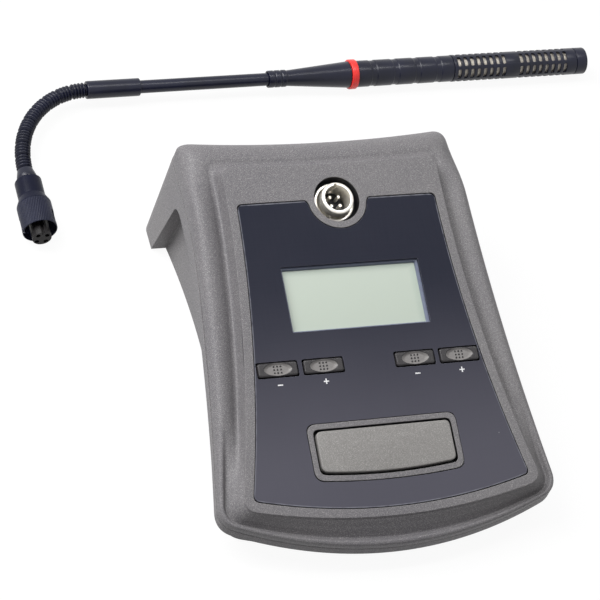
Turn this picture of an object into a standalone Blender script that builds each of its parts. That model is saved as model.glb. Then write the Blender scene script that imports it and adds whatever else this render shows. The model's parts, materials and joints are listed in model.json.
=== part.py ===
# Wireless podium microphone: a sloping desk unit, and its gooseneck microphone
# lying detached on the table behind it. Metres, +Z up, the table at Z = 0.
import math

import bmesh
import bpy
from mathutils import Matrix, Vector

# Clearances that all pieces share
gap = 0.0003
overrun = 0.003
weld = 0.00001
round_steps = 24
small_round_steps = 12
microphone_steps = 16
corner_steps = 4
small_corner_steps = 2
ball_steps = 8
boss_steps = 8

# Face of the desk unit: a plane through the socket's centre, falling towards the user
face_angle = math.radians(16)
face_rise = 0.069

# Rim: the outline of cover and housing at the parting line
rim_front_half = 0.0845
rim_front_y = -0.1415
rim_rear_half = 0.072
rim_rear_y = 0.040
rim_front_bow = 0.018
rim_side_bow = -0.0035
rim_rear_bow = -0.0035
rim_front_radius = 0.008
rim_rear_radius = 0.007
rim_edge_steps = (8, 5, 5, 5)
inside_edge_steps = (6, 3, 4, 3)
panel_edge_steps = (8, 4, 1, 4)

# Parting line: it runs below the face, and levels out at the rear
seam_drop = 0.0092
seam_level = 0.060
seam_ease = 0.002
seam_gap = 0.0004
seam_steps = 22

# Plateau: the raised field of the cover that carries panel, keys and socket
plateau_front_half = 0.074
plateau_front_v = -0.1465
plateau_rear_half = 0.0548
plateau_rear_v = 0.0195
plateau_front_bow = 0.0095
plateau_side_bow = -0.0053
plateau_rear_bow = -0.001
plateau_front_radius = 0.007
plateau_rear_radius = 0.005
plateau_edge = 0.0004

# Cover: its wall, and the fall from plateau to rim as shares of the rim's depth
cover_wall = 0.0026
fall_place_shares = (0.0, 0.05, 0.13, 0.24, 0.36, 0.50, 0.64, 0.74, 0.87, 1.0)
fall_side_shares = (1.0, 0.74, 0.60, 0.52, 0.50, 0.53, 0.62, 0.66, 0.34, 0.05)
fall_front_shares = (1.0, 0.70, 0.60, 0.62, 0.82, 0.72, 0.55, 0.40, 0.22, 0.05)
inside_place_shares = (0.16, 0.44, 0.64, 0.76, 0.90)
front_blend_start_share = 0.62
front_blend_end_share = 0.95

# Overlay panel, let into the plateau
panel_front_half = 0.0682
panel_front_v = -0.1425
panel_rear_half = 0.0502
panel_front_bow = 0.009
panel_side_bow = -0.004
panel_front_radius = 0.003
panel_rear_radius = 0.003
panel_thick = 0.001
panel_sunk = 0.0002
recess_deep = 0.0015
notch_radius = 0.0150
notch_shoulder = 0.0178
notch_rise = 0.0003
notch_turn = math.radians(14)

# Socket well in the cover
well_radius = 0.0114
well_outer = 0.0136
well_deep = 0.0072
well_floor = 0.002

# Round 4-pin socket
socket_radius = 0.008
socket_bore = 0.0064
socket_proud = 0.0015
socket_tail = 0.016
socket_edge = 0.0003
flange_radius = 0.0102
flange_thick = 0.002
key_way = 0.0018
nut_radius = 0.0099
nut_thick = 0.0024
nut_slot = 0.0022
insulator_sunk = 0.0082
insulator_tail = 0.015
pin_radius = 0.00085
pin_square_half = 0.0022
pin_tip = 0.0027
pin_tail = 0.0155
pin_round = 0.0004

# Display
window_half = 0.0343
window_rear_v = -0.0328
window_front_v = -0.0644
window_bevel = 0.001
window_radius = 0.0006
glass_margin = 0.0027
glass_thick = 0.0013
module_margin = 0.0018

# Main board and radio module, hung under the cover on four posts
board_half = 0.049
board_rear_v = -0.022
board_front_v = -0.141
board_sunk = 0.011
board_thick = 0.0016
board_radius = 0.002
post_radius = 0.0025
post_inset = 0.0038
radio_half = 0.016
radio_length = 0.022
radio_thick = 0.0032
radio_v = -0.100
antenna_radius = 0.0025
antenna_length = 0.030

# Talk key and the light surround that the cover forms round it
talk_half = 0.0338
talk_rear_v = -0.1128
talk_front_v = -0.1333
talk_bow = 0.0012
talk_radius = 0.003
talk_proud = 0.0009
talk_edge = 0.0006
talk_travel = 0.001
surround_width = 0.0031

# Small keys
key_half = 0.0097
key_rear_v = -0.0786
key_front_v = -0.0853
key_inner_u = 0.0229
key_outer_u = 0.04545
key_radius = 0.0012
key_proud = 0.0006
key_edge = 0.0005
key_travel = 0.0007
dish_half = 0.0062
dish_half_v = 0.0030
dish_deep = 0.0006
flange_lip = 0.0012
key_flange_thick = 0.0011
stem_half = 0.0018

# Push switches on the main board
switch_half = 0.003
switch_thick = 0.0034
button_half = 0.0016
button_thick = 0.001

# Lower housing
housing_wall = 0.0025
housing_lift = 0.0008
skirt_rear = 0.0085
skirt_front = 0.0043
skirt_taper_y = -0.110
leg_front_low_y = 0.0278
leg_front_slope = 0.198
leg_rear_low_half = 0.0723
leg_rear_low_y = 0.0448
leg_fillet = 0.006
pan_top_inset = 0.0056
pan_low_front_half = 0.0763
pan_low_front_y = -0.137
pan_low_rear_half = 0.0658
pan_low_rear_y = 0.036
pan_low_side_bow = -0.009
pan_low_front_bow = 0.014

# Base plate, feet and screws
plate_low = 0.0016
plate_thick = 0.003
foot_radius = 0.007
foot_taper = 0.0006
foot_steps = 18
foot_pocket = 0.0008
foot_front_x = 0.054
foot_front_y = -0.122
foot_rear_x = 0.051
foot_rear_y = 0.022
screw_front_x = 0.063
screw_front_y = -0.118
screw_rear_x = 0.044
screw_rear_y = 0.006
screw_head = 0.0028
screw_head_thick = 0.0016
screw_shank = 0.0012
screw_length = 0.012
boss_radius = 0.004
boss_root_share = 0.75

# Battery pack and its sliding door
pack_half_x = 0.031
pack_half_y = 0.017
pack_thick = 0.0165
pack_y = -0.052
pack_radius = 0.002
door_lip = 0.0025
door_thick = 0.0016
door_travel = 0.008
tray_wall = 0.0015
tray_rise = 0.007

# Plug of the microphone: it lies along Y, its open end towards the desk unit
plug_x = -0.1276
plug_front_y = 0.0375
collar_length = 0.030
collar_radius = 0.0086
collar_rear_radius = 0.0067
collar_step = 0.0105
collar_taper = 0.0043
thread_play = 0.0001
collar_rear_bore = 0.0060
collar_bore_step = 0.013
collar_edge = 0.0005
slot_length = 0.007
slot_width = 0.0050
slot_setback = 0.0022
slot_turn = math.radians(-24)
shell_proud = 0.0009
shell_front = 0.0130
insert_radius = 0.0047
insert_proud = 0.0048
insert_rear = 0.024
insert_key = 0.0014
contact_deep = 0.008
ferrule_length = 0.0070
ferrule_radius = 0.0050
ferrule_spigot = 0.006
ferrule_spigot_radius = 0.0036

# Gooseneck: ribbed links on ball ends, bent through a quarter turn
neck_radius = 0.0040
neck_valley = 0.0034
neck_length = 0.0723
neck_bend = math.radians(88.9)
neck_bend_even_share = 0.7
neck_links = 9
neck_gap = 0.0009
neck_ribs = 4
ball_radius = 0.0026
cup_radius = 0.00295
neck_bore = 0.0011
neck_sides_resolution = 3
bore_sides_resolution = 1
path_steps = 400

# Stem: sleeve, thin tube and tapered neck
sleeve_radius = 0.0046
sleeve_length = 0.0283
sleeve_edge = 0.0004
tube_radius = 0.00335
tube_seen = 0.0703
tube_held = 0.014
tube_bore = 0.002
taper_ring_radius = 0.0045
taper_ring_length = 0.0098
taper_groove_deep = 0.0004
taper_groove_width = 0.0011
taper_groove_shares = (0.36, 0.72)
taper_start_radius = 0.00405
taper_length = 0.0350
taper_grip = 0.010

# Head: light ring, grooved tube, slotted tube, mesh, capsule and end cap
ring_radius = 0.0079
ring_length = 0.0066
ring_edge = 0.0006
head_radius = 0.0072
body_radius = 0.0070
head_bore = 0.0060
spigot_radius = 0.0057
spigot_length = 0.007
body_length = 0.0543
groove_deep = 0.0003
groove_width = 0.0034
groove_place_shares = (0.165, 0.395, 0.62, 0.845)
slotted_length = 0.0737
slot_rows = 6
slot_pitch = 0.00376
slot_open = 0.0021
slot_round_share = 0.75
slot_phase = math.radians(12)
group_start = 0.00335
group_gap = 0.0083
slotted_wall = 0.0009
body_spigot = 0.0022
mesh_wall = 0.0004
capsule_radius = 0.0054
capsule_length = 0.007
capsule_back = 0.004
cap_length = 0.0064
cap_edge = 0.0005

face_matrix = Matrix.Translation((0, 0, face_rise)) @ Matrix.Rotation(face_angle, 4, "X")
to_face = face_matrix.inverted()
board_top = -board_sunk
plug_rear_y = plug_front_y + collar_length
neck_start_y = plug_rear_y + ferrule_length
slotted_field = slotted_length - group_start * 2 - group_gap + (slot_pitch - slot_open) * 2
slots_per_group = int(slotted_field / slot_pitch / 2)


# Scene and materials
def clear_scene():
    for item in list(bpy.data.objects):
        bpy.data.objects.remove(item, do_unlink=True)


def new_collection(name):
    collection = bpy.data.collections.new(name)
    bpy.context.scene.collection.children.link(collection)
    return collection


def new_material(name, color, roughness, metallic=0.0):
    made = bpy.data.materials.new(name)
    made.use_nodes = True
    shader = made.node_tree.nodes["Principled BSDF"]
    shader.inputs["Base Color"].default_value = (*color, 1.0)
    shader.inputs["Roughness"].default_value = roughness
    shader.inputs["Metallic"].default_value = metallic
    return made


clear_scene()
parts = new_collection("wireless_podium_microphone")
cutters = new_collection("cutters")

grey_plastic = new_material("grey_plastic", (0.130, 0.128, 0.130), 0.48)
key_plastic = new_material("key_plastic", (0.115, 0.112, 0.112), 0.42)
panel_sheet = new_material("panel_sheet", (0.030, 0.033, 0.048), 0.30)
display_glass = new_material("display_glass", (0.55, 0.63, 0.53), 0.15)
board_green = new_material("board_green", (0.03, 0.16, 0.07), 0.50)
nickel = new_material("nickel", (0.78, 0.75, 0.68), 0.22, 1.0)
tin = new_material("tin", (0.70, 0.70, 0.70), 0.35, 1.0)
black_plastic = new_material("black_plastic", (0.018, 0.017, 0.018), 0.45)
rubber = new_material("rubber", (0.02, 0.02, 0.02), 0.85)
steel = new_material("steel", (0.45, 0.45, 0.46), 0.35, 1.0)
battery_wrap = new_material("battery_wrap", (0.05, 0.12, 0.30), 0.40)
black_metal = new_material("black_metal", (0.022, 0.024, 0.034), 0.36, 0.4)
red_ring = new_material("red_ring", (0.80, 0.045, 0.050), 0.35)
mesh_metal = new_material("mesh_metal", (0.62, 0.61, 0.58), 0.38, 1.0)


# Objects
def new_frame(name, parent=None, location=(0, 0, 0), rotation=(0, 0, 0)):
    frame = bpy.data.objects.new(name, None)
    parts.objects.link(frame)
    frame.parent = parent
    frame.location = location
    frame.rotation_euler = rotation
    return frame


def new_part(name, mesh, finish, parent, location=(0, 0, 0), rotation=(0, 0, 0)):
    part = bpy.data.objects.new(name, mesh)
    parts.objects.link(part)
    part.parent = parent
    part.location = location
    part.rotation_euler = rotation
    mesh.name = name
    mesh.materials.clear()
    mesh.materials.append(finish.copy())
    part.data.materials[0].name = name + "_finish"
    return part


def new_tool(name, mesh, parent, location=(0, 0, 0), rotation=(0, 0, 0)):
    tool = bpy.data.objects.new(name, mesh)
    cutters.objects.link(tool)
    tool.parent = parent
    tool.location = location
    tool.rotation_euler = rotation
    tool.hide_render = True
    tool.display_type = "WIRE"
    return tool


def combine(part, tool, operation="DIFFERENCE"):
    change = part.modifiers.new(tool.name, "BOOLEAN")
    change.operation = operation
    change.object = tool
    change.solver = "EXACT"
    return part


def smooth(part, angle=math.radians(35)):
    part.data.shade_smooth()
    part.data.set_sharp_from_angle(angle=angle)
    return part


# Outlines: closed lists of points, counter-clockwise
def crossing(start, heading, other, other_heading):
    along = heading.x * other_heading.y - heading.y * other_heading.x
    between = other - start
    share = (between.x * other_heading.y - between.y * other_heading.x) / along
    return start + heading * share


def outline(corners, bows, radii, edge_steps, turn_steps=corner_steps):
    """Straight or bowed edges between corners, with each corner rounded."""
    count = len(corners)
    edges = []
    for index in range(count):
        start = Vector(corners[index])
        run = Vector(corners[(index + 1) % count]) - start
        outward = Vector((run.y, -run.x)).normalized()
        first = radii[index] / run.length
        last = 1 - radii[(index + 1) % count] / run.length
        points = []
        for step in range(edge_steps[index] + 1):
            share = first + (last - first) * step / edge_steps[index]
            points.append(start + run * share + outward * 4 * share * (1 - share) * bows[index])
        ends = [run + outward * 4 * (1 - 2 * share) * bows[index] for share in (first, last)]
        edges.append((points, ends))
    made = []
    for index in range(count):
        points, ends = edges[index]
        following, next_ends = edges[(index + 1) % count]
        made += points
        corner = crossing(points[-1], ends[1], following[0], next_ends[0])
        for step in range(1, turn_steps):
            share = step / turn_steps
            made.append(points[-1] * (1 - share) ** 2 + corner * 2 * share * (1 - share)
                        + following[0] * share ** 2)
    return made


def symmetric_outline(front_half, front, rear_half, rear, bows, radii, edge_steps,
                      turn_steps=corner_steps):
    corners = [(-front_half, front), (front_half, front), (rear_half, rear), (-rear_half, rear)]
    front_bow, side_bow, rear_bow = bows
    front_radius, rear_radius = radii
    return outline(corners, (front_bow, side_bow, rear_bow, side_bow),
                   (front_radius, front_radius, rear_radius, rear_radius), edge_steps, turn_steps)


def box_outline(half_x, half_y, radius, middle=(0, 0)):
    points = symmetric_outline(half_x, -half_y, half_x, half_y, (0, 0, 0), (radius, radius),
                               (1,) * 4, small_corner_steps)
    return [point + Vector(middle) for point in points]


def circle_outline(radius, steps, middle=(0, 0)):
    turns = [2 * math.pi * step / steps for step in range(steps)]
    return [Vector((middle[0] + radius * math.cos(turn), middle[1] + radius * math.sin(turn)))
            for turn in turns]


# Meshes
def loft(rings):
    """A closed body through counter-clockwise rings of equal counts, from low to high."""
    body = bmesh.new()
    rows = [[body.verts.new(point) for point in ring] for ring in rings]
    count = len(rows[0])
    for low, high in zip(rows, rows[1:]):
        for index in range(count):
            after = (index + 1) % count
            body.faces.new((low[index], low[after], high[after], high[index]))
    body.faces.new(list(reversed(rows[0])))
    body.faces.new(rows[-1])
    mesh = bpy.data.meshes.new("loft")
    body.to_mesh(mesh)
    body.free()
    return mesh


def stack(levels):
    """A closed body through flat outlines at rising heights."""
    return loft([[Vector((point.x, point.y, height)) for point in points]
                 for points, height in levels])


def as_mesh(curve, name):
    carrier = bpy.data.objects.new(name, curve)
    bpy.context.scene.collection.objects.link(carrier)
    evaluated = carrier.evaluated_get(bpy.context.evaluated_depsgraph_get())
    mesh = bpy.data.meshes.new_from_object(evaluated)
    bpy.data.objects.remove(carrier, do_unlink=True)
    body = bmesh.new()
    body.from_mesh(mesh)
    bmesh.ops.remove_doubles(body, verts=body.verts, dist=weld)
    body.to_mesh(mesh)
    body.free()
    return mesh


def plate(points, low, high):
    """A flat outline, filled and given thickness."""
    curve = bpy.data.curves.new("plate", "CURVE")
    curve.dimensions = "2D"
    curve.fill_mode = "BOTH"
    curve.extrude = (high - low) / 2
    spline = curve.splines.new("POLY")
    spline.points.add(len(points) - 1)
    for point, place in zip(spline.points, points):
        point.co = (place[0], place[1], 0, 1)
    spline.use_cyclic_u = True
    mesh = as_mesh(curve, "plate")
    mesh.transform(Matrix.Translation((0, 0, (low + high) / 2)))
    return mesh


def side_prism(points, half):
    """A side view (Y, Z), given width along X."""
    mesh = plate(points, -half, half)
    mesh.transform(Matrix(((0, 0, 1, 0), (1, 0, 0, 0), (0, 1, 0, 0), (0, 0, 0, 1))))
    return mesh


def round_bar(radius, low, high, steps=round_steps):
    return stack([(circle_outline(radius, steps), low), (circle_outline(radius, steps), high)])


def add_turning(part, steps=round_steps):
    turn = part.modifiers.new("turning", "SCREW")
    turn.axis = "Z"
    turn.angle = 2 * math.pi
    turn.steps = steps
    turn.render_steps = steps
    turn.use_merge_vertices = True
    turn.merge_threshold = weld
    turn.use_smooth_shade = False
    return part


def profile_mesh(points, closed):
    """A line of (radius, height) points, down the outer side first."""
    mesh = bpy.data.meshes.new("profile")
    count = len(points)
    edges = [(index, index + 1) for index in range(count - 1)]
    if closed:
        edges.append((count - 1, 0))
    mesh.from_pydata([(radius, 0, height) for radius, height in points], edges, [])
    return mesh


def turned_part(name, points, finish, parent, closed=True, steps=microphone_steps, **place):
    return add_turning(new_part(name, profile_mesh(points, closed), finish, parent, **place), steps)


def ball_mesh(radius, steps=ball_steps):
    body = bmesh.new()
    bmesh.ops.create_uvsphere(body, u_segments=steps, v_segments=steps // 2, radius=radius)
    mesh = bpy.data.meshes.new("ball")
    body.to_mesh(mesh)
    body.free()
    return mesh


def tube_mesh(points, radii, sides_resolution):
    curve = bpy.data.curves.new("tube", "CURVE")
    curve.dimensions = "3D"
    curve.bevel_depth = radii[0]
    curve.bevel_resolution = sides_resolution
    curve.use_fill_caps = True
    spline = curve.splines.new("POLY")
    spline.points.add(len(points) - 1)
    for point, place, radius in zip(spline.points, points, radii):
        point.co = (*place, 1)
        point.radius = radius / radii[0]
    return as_mesh(curve, "tube")


# Desk unit: parting line and outlines
def seam_height(y):
    ramp = face_rise + y * math.tan(face_angle) - seam_drop / math.cos(face_angle)
    return (ramp + seam_level) / 2 - math.hypot((ramp - seam_level) / 2, seam_ease)


def face_height(y, depth):
    return face_rise + y * math.tan(face_angle) - depth / math.cos(face_angle)


def rim_outline(inset=0.0, edge_steps=rim_edge_steps):
    return symmetric_outline(
        rim_front_half - inset, rim_front_y + inset, rim_rear_half - inset, rim_rear_y - inset,
        (rim_front_bow, rim_side_bow, rim_rear_bow),
        (rim_front_radius - inset / 2, rim_rear_radius - inset / 2), edge_steps)


def plateau_outline(inset=0.0, edge_steps=rim_edge_steps):
    return symmetric_outline(
        plateau_front_half - inset, plateau_front_v + inset,
        plateau_rear_half - inset, plateau_rear_v - inset,
        (plateau_front_bow, plateau_side_bow, plateau_rear_bow),
        (plateau_front_radius - inset / 2, plateau_rear_radius - inset / 2), edge_steps)


def panel_outline(growth=0.0):
    return symmetric_outline(
        panel_front_half + growth, panel_front_v - growth, panel_rear_half + growth, growth,
        (panel_front_bow, panel_side_bow, 0), (panel_front_radius, panel_rear_radius),
        panel_edge_steps, small_corner_steps + 1)


def notch_outline(growth=0.0):
    """The round bay for the socket, with shoulders that open out at the panel's edge."""
    radius = notch_radius + growth
    shoulder = notch_shoulder + growth
    first = math.pi + notch_turn
    sweep = math.pi - 2 * notch_turn
    points = [Vector((radius * math.cos(first + sweep * step / small_round_steps),
                      radius * math.sin(first + sweep * step / small_round_steps)))
              for step in range(small_round_steps + 1)]
    end = points[-1]
    for step in range(1, corner_steps + 1):
        share = step / corner_steps
        points.append(end * (1 - share) ** 2 + Vector((radius, -growth)) * 2 * share * (1 - share)
                      + Vector((shoulder, notch_rise - growth)) * share ** 2)
    points += [Vector((shoulder, overrun)), Vector((-shoulder, overrun))]
    for step in range(corner_steps, 0, -1):
        mirrored = points[small_round_steps + step]
        points.append(Vector((-mirrored.x, mirrored.y)))
    return points


def surround_outline(growth=0.0):
    reach = surround_width + growth
    return symmetric_outline(
        talk_half + reach, talk_front_v - reach, talk_half + reach, talk_rear_v + reach,
        (talk_bow, 0, 0), (talk_radius + surround_width / 2,) * 2, (6, 1, 1, 1),
        small_corner_steps + 1)


def talk_outline(growth=0.0):
    return symmetric_outline(
        talk_half + growth, talk_front_v - growth, talk_half + growth, talk_rear_v + growth,
        (talk_bow, 0, 0), (talk_radius,) * 2, (6, 1, 1, 1), small_corner_steps + 1)


def key_outline(growth=0.0):
    return box_outline(key_half + growth, (key_rear_v - key_front_v) / 2 + growth, key_radius)


def window_outline(growth=0.0):
    middle = (0, (window_rear_v + window_front_v) / 2)
    half = (window_rear_v - window_front_v) / 2
    return box_outline(window_half + growth, half + growth, window_radius, middle)


def smooth_step(value, start, end):
    share = min(1.0, max(0.0, (value - start) / (end - start)))
    return share * share * (3 - 2 * share)


def profile_share(place, shares):
    """A value between the stations of the cover's profile."""
    for index in range(len(shares) - 1):
        low, high = fall_place_shares[index:index + 2]
        if place <= high:
            break
    between = (place - low) / (high - low)
    return shares[index] * (1 - between) + shares[index + 1] * between


def fall_share(place, y):
    """How deep the cover lies between rim (1) and face (0), at a share of the way in."""
    front = smooth_step(y / rim_front_y, front_blend_start_share, front_blend_end_share)
    side_share = profile_share(place, fall_side_shares)
    return side_share + (profile_share(place, fall_front_shares) - side_share) * front


def cover_ring(rim, plateau, place, sink=0.0):
    ring = []
    for outer, inner in zip(rim, plateau):
        base = to_face @ Vector((outer.x, outer.y, face_height(outer.y, seam_drop)))
        flat = Vector((base.x, base.y)).lerp(inner, place)
        depth = -seam_drop * fall_share(place, outer.y) - sink
        ring.append(face_matrix @ Vector((flat.x, flat.y, depth)))
    return ring


def seam_ring(rim):
    return [Vector((point.x, point.y, seam_height(point.y))) for point in rim]


def face_ring(points, height):
    return [face_matrix @ Vector((point.x, point.y, height)) for point in points]


def flat_ring(points, height):
    return [Vector((point.x, point.y, height)) for point in points]


def cover_body():
    rim, plateau = rim_outline(), plateau_outline()
    rings = [flat_ring(rim, -overrun), seam_ring(rim)]
    rings += [cover_ring(rim, plateau, place) for place in fall_place_shares[1:]]
    rings.append(face_ring(plateau_outline(plateau_edge), 0))
    return loft(rings)


def cover_hollow():
    steps = inside_edge_steps
    inner_rim, plateau = rim_outline(cover_wall, steps), plateau_outline(0, steps)
    rim = rim_outline(0, steps)
    rings = [flat_ring(inner_rim, -overrun * 2)]
    rings += [cover_ring(rim, plateau, place, cover_wall) for place in inside_place_shares]
    rings[1] = [Vector((flat.x, flat.y, point.z)) for flat, point in zip(inner_rim, rings[1])]
    rings.append(face_ring(plateau_outline(cover_wall, steps), -cover_wall))
    return loft(rings)


def seam_points():
    start = rim_front_y - rim_front_bow - overrun
    end = leg_rear_low_y + overrun
    places = [start + (end - start) * step / seam_steps for step in range(seam_steps + 1)]
    return [(y, seam_height(y)) for y in places]


def below_seam():
    line = [(y, height + seam_gap / 2) for y, height in seam_points()]
    floor = -overrun * 3
    return side_prism(line + [(line[-1][0], floor), (line[0][0], floor)],
                      rim_front_half + overrun)


def above_seam():
    line = [(y, height - seam_gap / 2) for y, height in seam_points()]
    roof = face_rise + seam_level
    return side_prism(line + [(line[-1][0], roof), (line[0][0], roof)],
                      rim_front_half + overrun)


def plate_places(front_x, front_y, rear_x, rear_y):
    return {"front_left": (-front_x, front_y), "front_right": (front_x, front_y),
            "rear_left": (-rear_x, rear_y), "rear_right": (rear_x, rear_y)}


screw_places = plate_places(screw_front_x, screw_front_y, screw_rear_x, screw_rear_y)
foot_places = plate_places(foot_front_x, foot_front_y, foot_rear_x, foot_rear_y)
key_places = {"key_set_minus": -key_outer_u, "key_set_plus": -key_inner_u,
              "key_volume_minus": key_inner_u, "key_volume_plus": key_outer_u}
key_middle_v = (key_rear_v + key_front_v) / 2
talk_middle_v = (talk_rear_v + talk_front_v) / 2
plate_top = plate_low + plate_thick


def add_screw_bosses(cover, root):
    for place, (x, y) in screw_places.items():
        top = face_height(y, cover_wall * boss_root_share)
        boss = new_tool("boss_" + place, round_bar(boss_radius, plate_top + gap, top,
                                                   boss_steps), root, (x, y, 0))
        combine(cover, boss, "UNION")
    for place, (x, y) in screw_places.items():
        hole = new_tool("boss_hole_" + place,
                        round_bar(screw_shank + gap * 2, 0, screw_length + plate_top,
                                  boss_steps), root, (x, y, 0))
        combine(cover, hole)


def add_board_posts(cover, face):
    for side in (-1, 1):
        for v in (board_rear_v - post_inset, board_front_v + post_inset):
            post = new_tool("board_post", round_bar(post_radius, board_top + gap,
                                                    -cover_wall / 2, boss_steps),
                            face, (side * (board_half - post_inset), v, 0))
            combine(cover, post, "UNION")


def cut_panel_recess(cover, face):
    recess = new_tool("panel_recess", plate(panel_outline(gap), -recess_deep, overrun), face)
    tongue = new_tool("socket_tongue", plate(notch_outline(-gap), -overrun, overrun * 2), face)
    island = new_tool("surround_island", plate(surround_outline(), -overrun, overrun * 2), face)
    combine(recess, tongue)
    combine(recess, island)
    combine(cover, recess)


def cut_cover_openings(cover, face):
    low, high = -cover_wall * 2, overrun
    for name, u in key_places.items():
        opening = plate(key_outline(gap), low, high)
        combine(cover, new_tool(name + "_opening", opening, face, (u, key_middle_v, 0)))
    combine(cover, new_tool("talk_opening", plate(talk_outline(gap), low, high), face))
    window = stack([(window_outline(-window_bevel - overrun / 4), low),
                    (window_outline(-window_bevel), -cover_wall - overrun / 8),
                    (window_outline(0), 0), (window_outline(0), high)])
    combine(cover, new_tool("window_opening", window, face))


def make_well(cover, face):
    wall = round_bar(well_outer, -well_deep - well_floor, -cover_wall / 2)
    combine(cover, new_tool("well_wall", wall, face), "UNION")
    combine(cover, new_tool("well", round_bar(well_radius, -well_deep, overrun), face))
    hole = round_bar(socket_radius + gap, -well_deep - overrun * 2, 0)
    combine(cover, new_tool("well_hole", hole, face))


def make_top_cover(root, face):
    cover = new_part("top_cover", cover_body(), grey_plastic, root)
    combine(cover, new_tool("cover_hollow", cover_hollow(), root))
    combine(cover, new_tool("below_seam", below_seam(), root))
    add_screw_bosses(cover, root)
    add_board_posts(cover, face)
    make_well(cover, face)
    cut_panel_recess(cover, face)
    cut_cover_openings(cover, face)
    return smooth(cover)


def make_overlay_panel(face):
    low = -panel_sunk - panel_thick
    panel = new_part("overlay_panel", plate(panel_outline(), low, -panel_sunk), panel_sheet, face)
    low, high = low - overrun, overrun
    combine(panel, new_tool("panel_notch", plate(notch_outline(), low, high), face))
    combine(panel, new_tool("panel_talk", plate(surround_outline(gap), low, high), face))
    combine(panel, new_tool("panel_window", plate(window_outline(gap), low, high), face))
    for name, u in key_places.items():
        opening = plate(key_outline(gap), low, high)
        combine(panel, new_tool(name + "_panel", opening, face, (u, key_middle_v, 0)))
    return panel


# Desk unit: display and electronics
def make_display(face):
    top = -cover_wall - gap
    glass_low = top - glass_thick
    new_part("display_glass", stack([(window_outline(glass_margin), glass_low),
                                     (window_outline(glass_margin), top)]), display_glass, face)
    edge = window_outline(glass_margin + module_margin)
    new_part("display_module", stack([(edge, board_top + gap), (edge, glass_low - gap)]),
             black_plastic, face)


def make_board(face):
    half_v = (board_rear_v - board_front_v) / 2
    edge = box_outline(board_half, half_v, board_radius, (0, board_rear_v - half_v))
    new_part("main_board", stack([(edge, board_top - board_thick), (edge, board_top)]),
             board_green, face)
    can_top = board_top - board_thick - gap
    can = box_outline(radio_half, radio_length / 2, board_radius, (0, radio_v))
    new_part("radio_module", stack([(can, can_top - radio_thick), (can, can_top)]), tin, face)
    antenna_place = (radio_half + antenna_radius + gap * 2, radio_v, can_top - antenna_radius)
    antenna = new_part("antenna", round_bar(antenna_radius, -antenna_length / 2,
                                            antenna_length / 2, small_round_steps),
                       black_plastic, face, antenna_place, (math.pi / 2, 0, 0))
    return smooth(antenna)


def switch_mesh():
    body = box_outline(switch_half, switch_half, button_thick / 2)
    button = box_outline(button_half, button_half, button_half / 2)
    top = board_top + gap + switch_thick
    return stack([(body, board_top + gap), (body, top), (button, top),
                  (button, top + button_thick)])


def make_keys(face):
    height = board_top + gap + switch_thick + button_thick
    flange_top = -cover_wall - gap
    for name, u in key_places.items():
        stem = box_outline(stem_half, stem_half, stem_half / 2)
        flange = key_outline(flange_lip)
        mesh = stack([(stem, height + key_travel + gap / 2),
                      (stem, flange_top - key_flange_thick),
                      (flange, flange_top - key_flange_thick), (flange, flange_top),
                      (key_outline(), flange_top), (key_outline(), key_proud - key_edge),
                      (key_outline(-key_edge), key_proud)])
        key = new_part(name, mesh, key_plastic, face, (u, key_middle_v, 0))
        dish = ball_mesh(1)
        dish.transform(Matrix.Diagonal((dish_half, dish_half_v, dish_deep, 1)))
        combine(key, new_tool(name + "_dish", dish, face, (u, key_middle_v, key_proud)))
        smooth(key)
        new_part(name.replace("key", "switch"), switch_mesh(), black_plastic, face,
                 (u, key_middle_v, 0))


def make_talk_key(face):
    height = board_top + gap + switch_thick + button_thick
    flange_top = -cover_wall - gap
    stem_middle = Vector((0, talk_middle_v))
    stem = symmetric_outline(stem_half, -stem_half, stem_half, stem_half, (0, 0, 0),
                             (stem_half / 2,) * 2, (6, 1, 1, 1), small_corner_steps + 1)
    stem = [point + stem_middle for point in stem]
    levels = [(stem, height + talk_travel + gap / 2), (stem, flange_top - key_flange_thick),
              (talk_outline(flange_lip), flange_top - key_flange_thick),
              (talk_outline(flange_lip), flange_top), (talk_outline(), flange_top),
              (talk_outline(), talk_proud - talk_edge),
              (talk_outline(-talk_edge / 3), talk_proud - talk_edge / 3),
              (talk_outline(-talk_edge), talk_proud)]
    mesh = stack(levels)
    mesh.transform(Matrix.Translation((0, -talk_middle_v, 0)))
    smooth(new_part("talk_key", mesh, key_plastic, face, (0, talk_middle_v, 0)))
    new_part("talk_switch", switch_mesh(), black_plastic, face, (0, talk_middle_v, 0))


# Desk unit: socket
def make_socket(face):
    floor_low = -well_deep - well_floor
    flange_top = floor_low - gap
    shell = turned_part("socket_shell", [
        (socket_bore, socket_proud), (socket_radius - socket_edge, socket_proud),
        (socket_radius, socket_proud - socket_edge), (socket_radius, flange_top),
        (flange_radius, flange_top), (flange_radius, flange_top - flange_thick),
        (socket_radius, flange_top - flange_thick), (socket_radius, -socket_tail),
        (socket_bore, -socket_tail)], nickel, face, steps=round_steps)
    way = stack([(box_outline(key_way / 2, key_way / 2, key_edge), -insulator_sunk),
                 (box_outline(key_way / 2, key_way / 2, key_edge), overrun)])
    combine(shell, new_tool("key_way", way, face, (0, socket_bore, 0)))
    smooth(shell)
    nut_low = -well_deep + gap
    nut_bore = socket_radius + gap
    nut = turned_part("socket_nut", [
        (nut_bore, nut_low + nut_thick), (nut_radius - socket_edge, nut_low + nut_thick),
        (nut_radius, nut_low + nut_thick - socket_edge), (nut_radius, nut_low),
        (nut_bore, nut_low)], nickel, face, steps=round_steps)
    slot = box_outline(nut_radius + overrun, nut_slot / 2, key_edge)
    combine(nut, new_tool("nut_slot", stack([(slot, nut_low + nut_thick / 2), (slot, overrun)]),
                          face, (0, 0, 0), (0, 0, math.radians(60))))
    smooth(nut)
    make_contacts(face)


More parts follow.
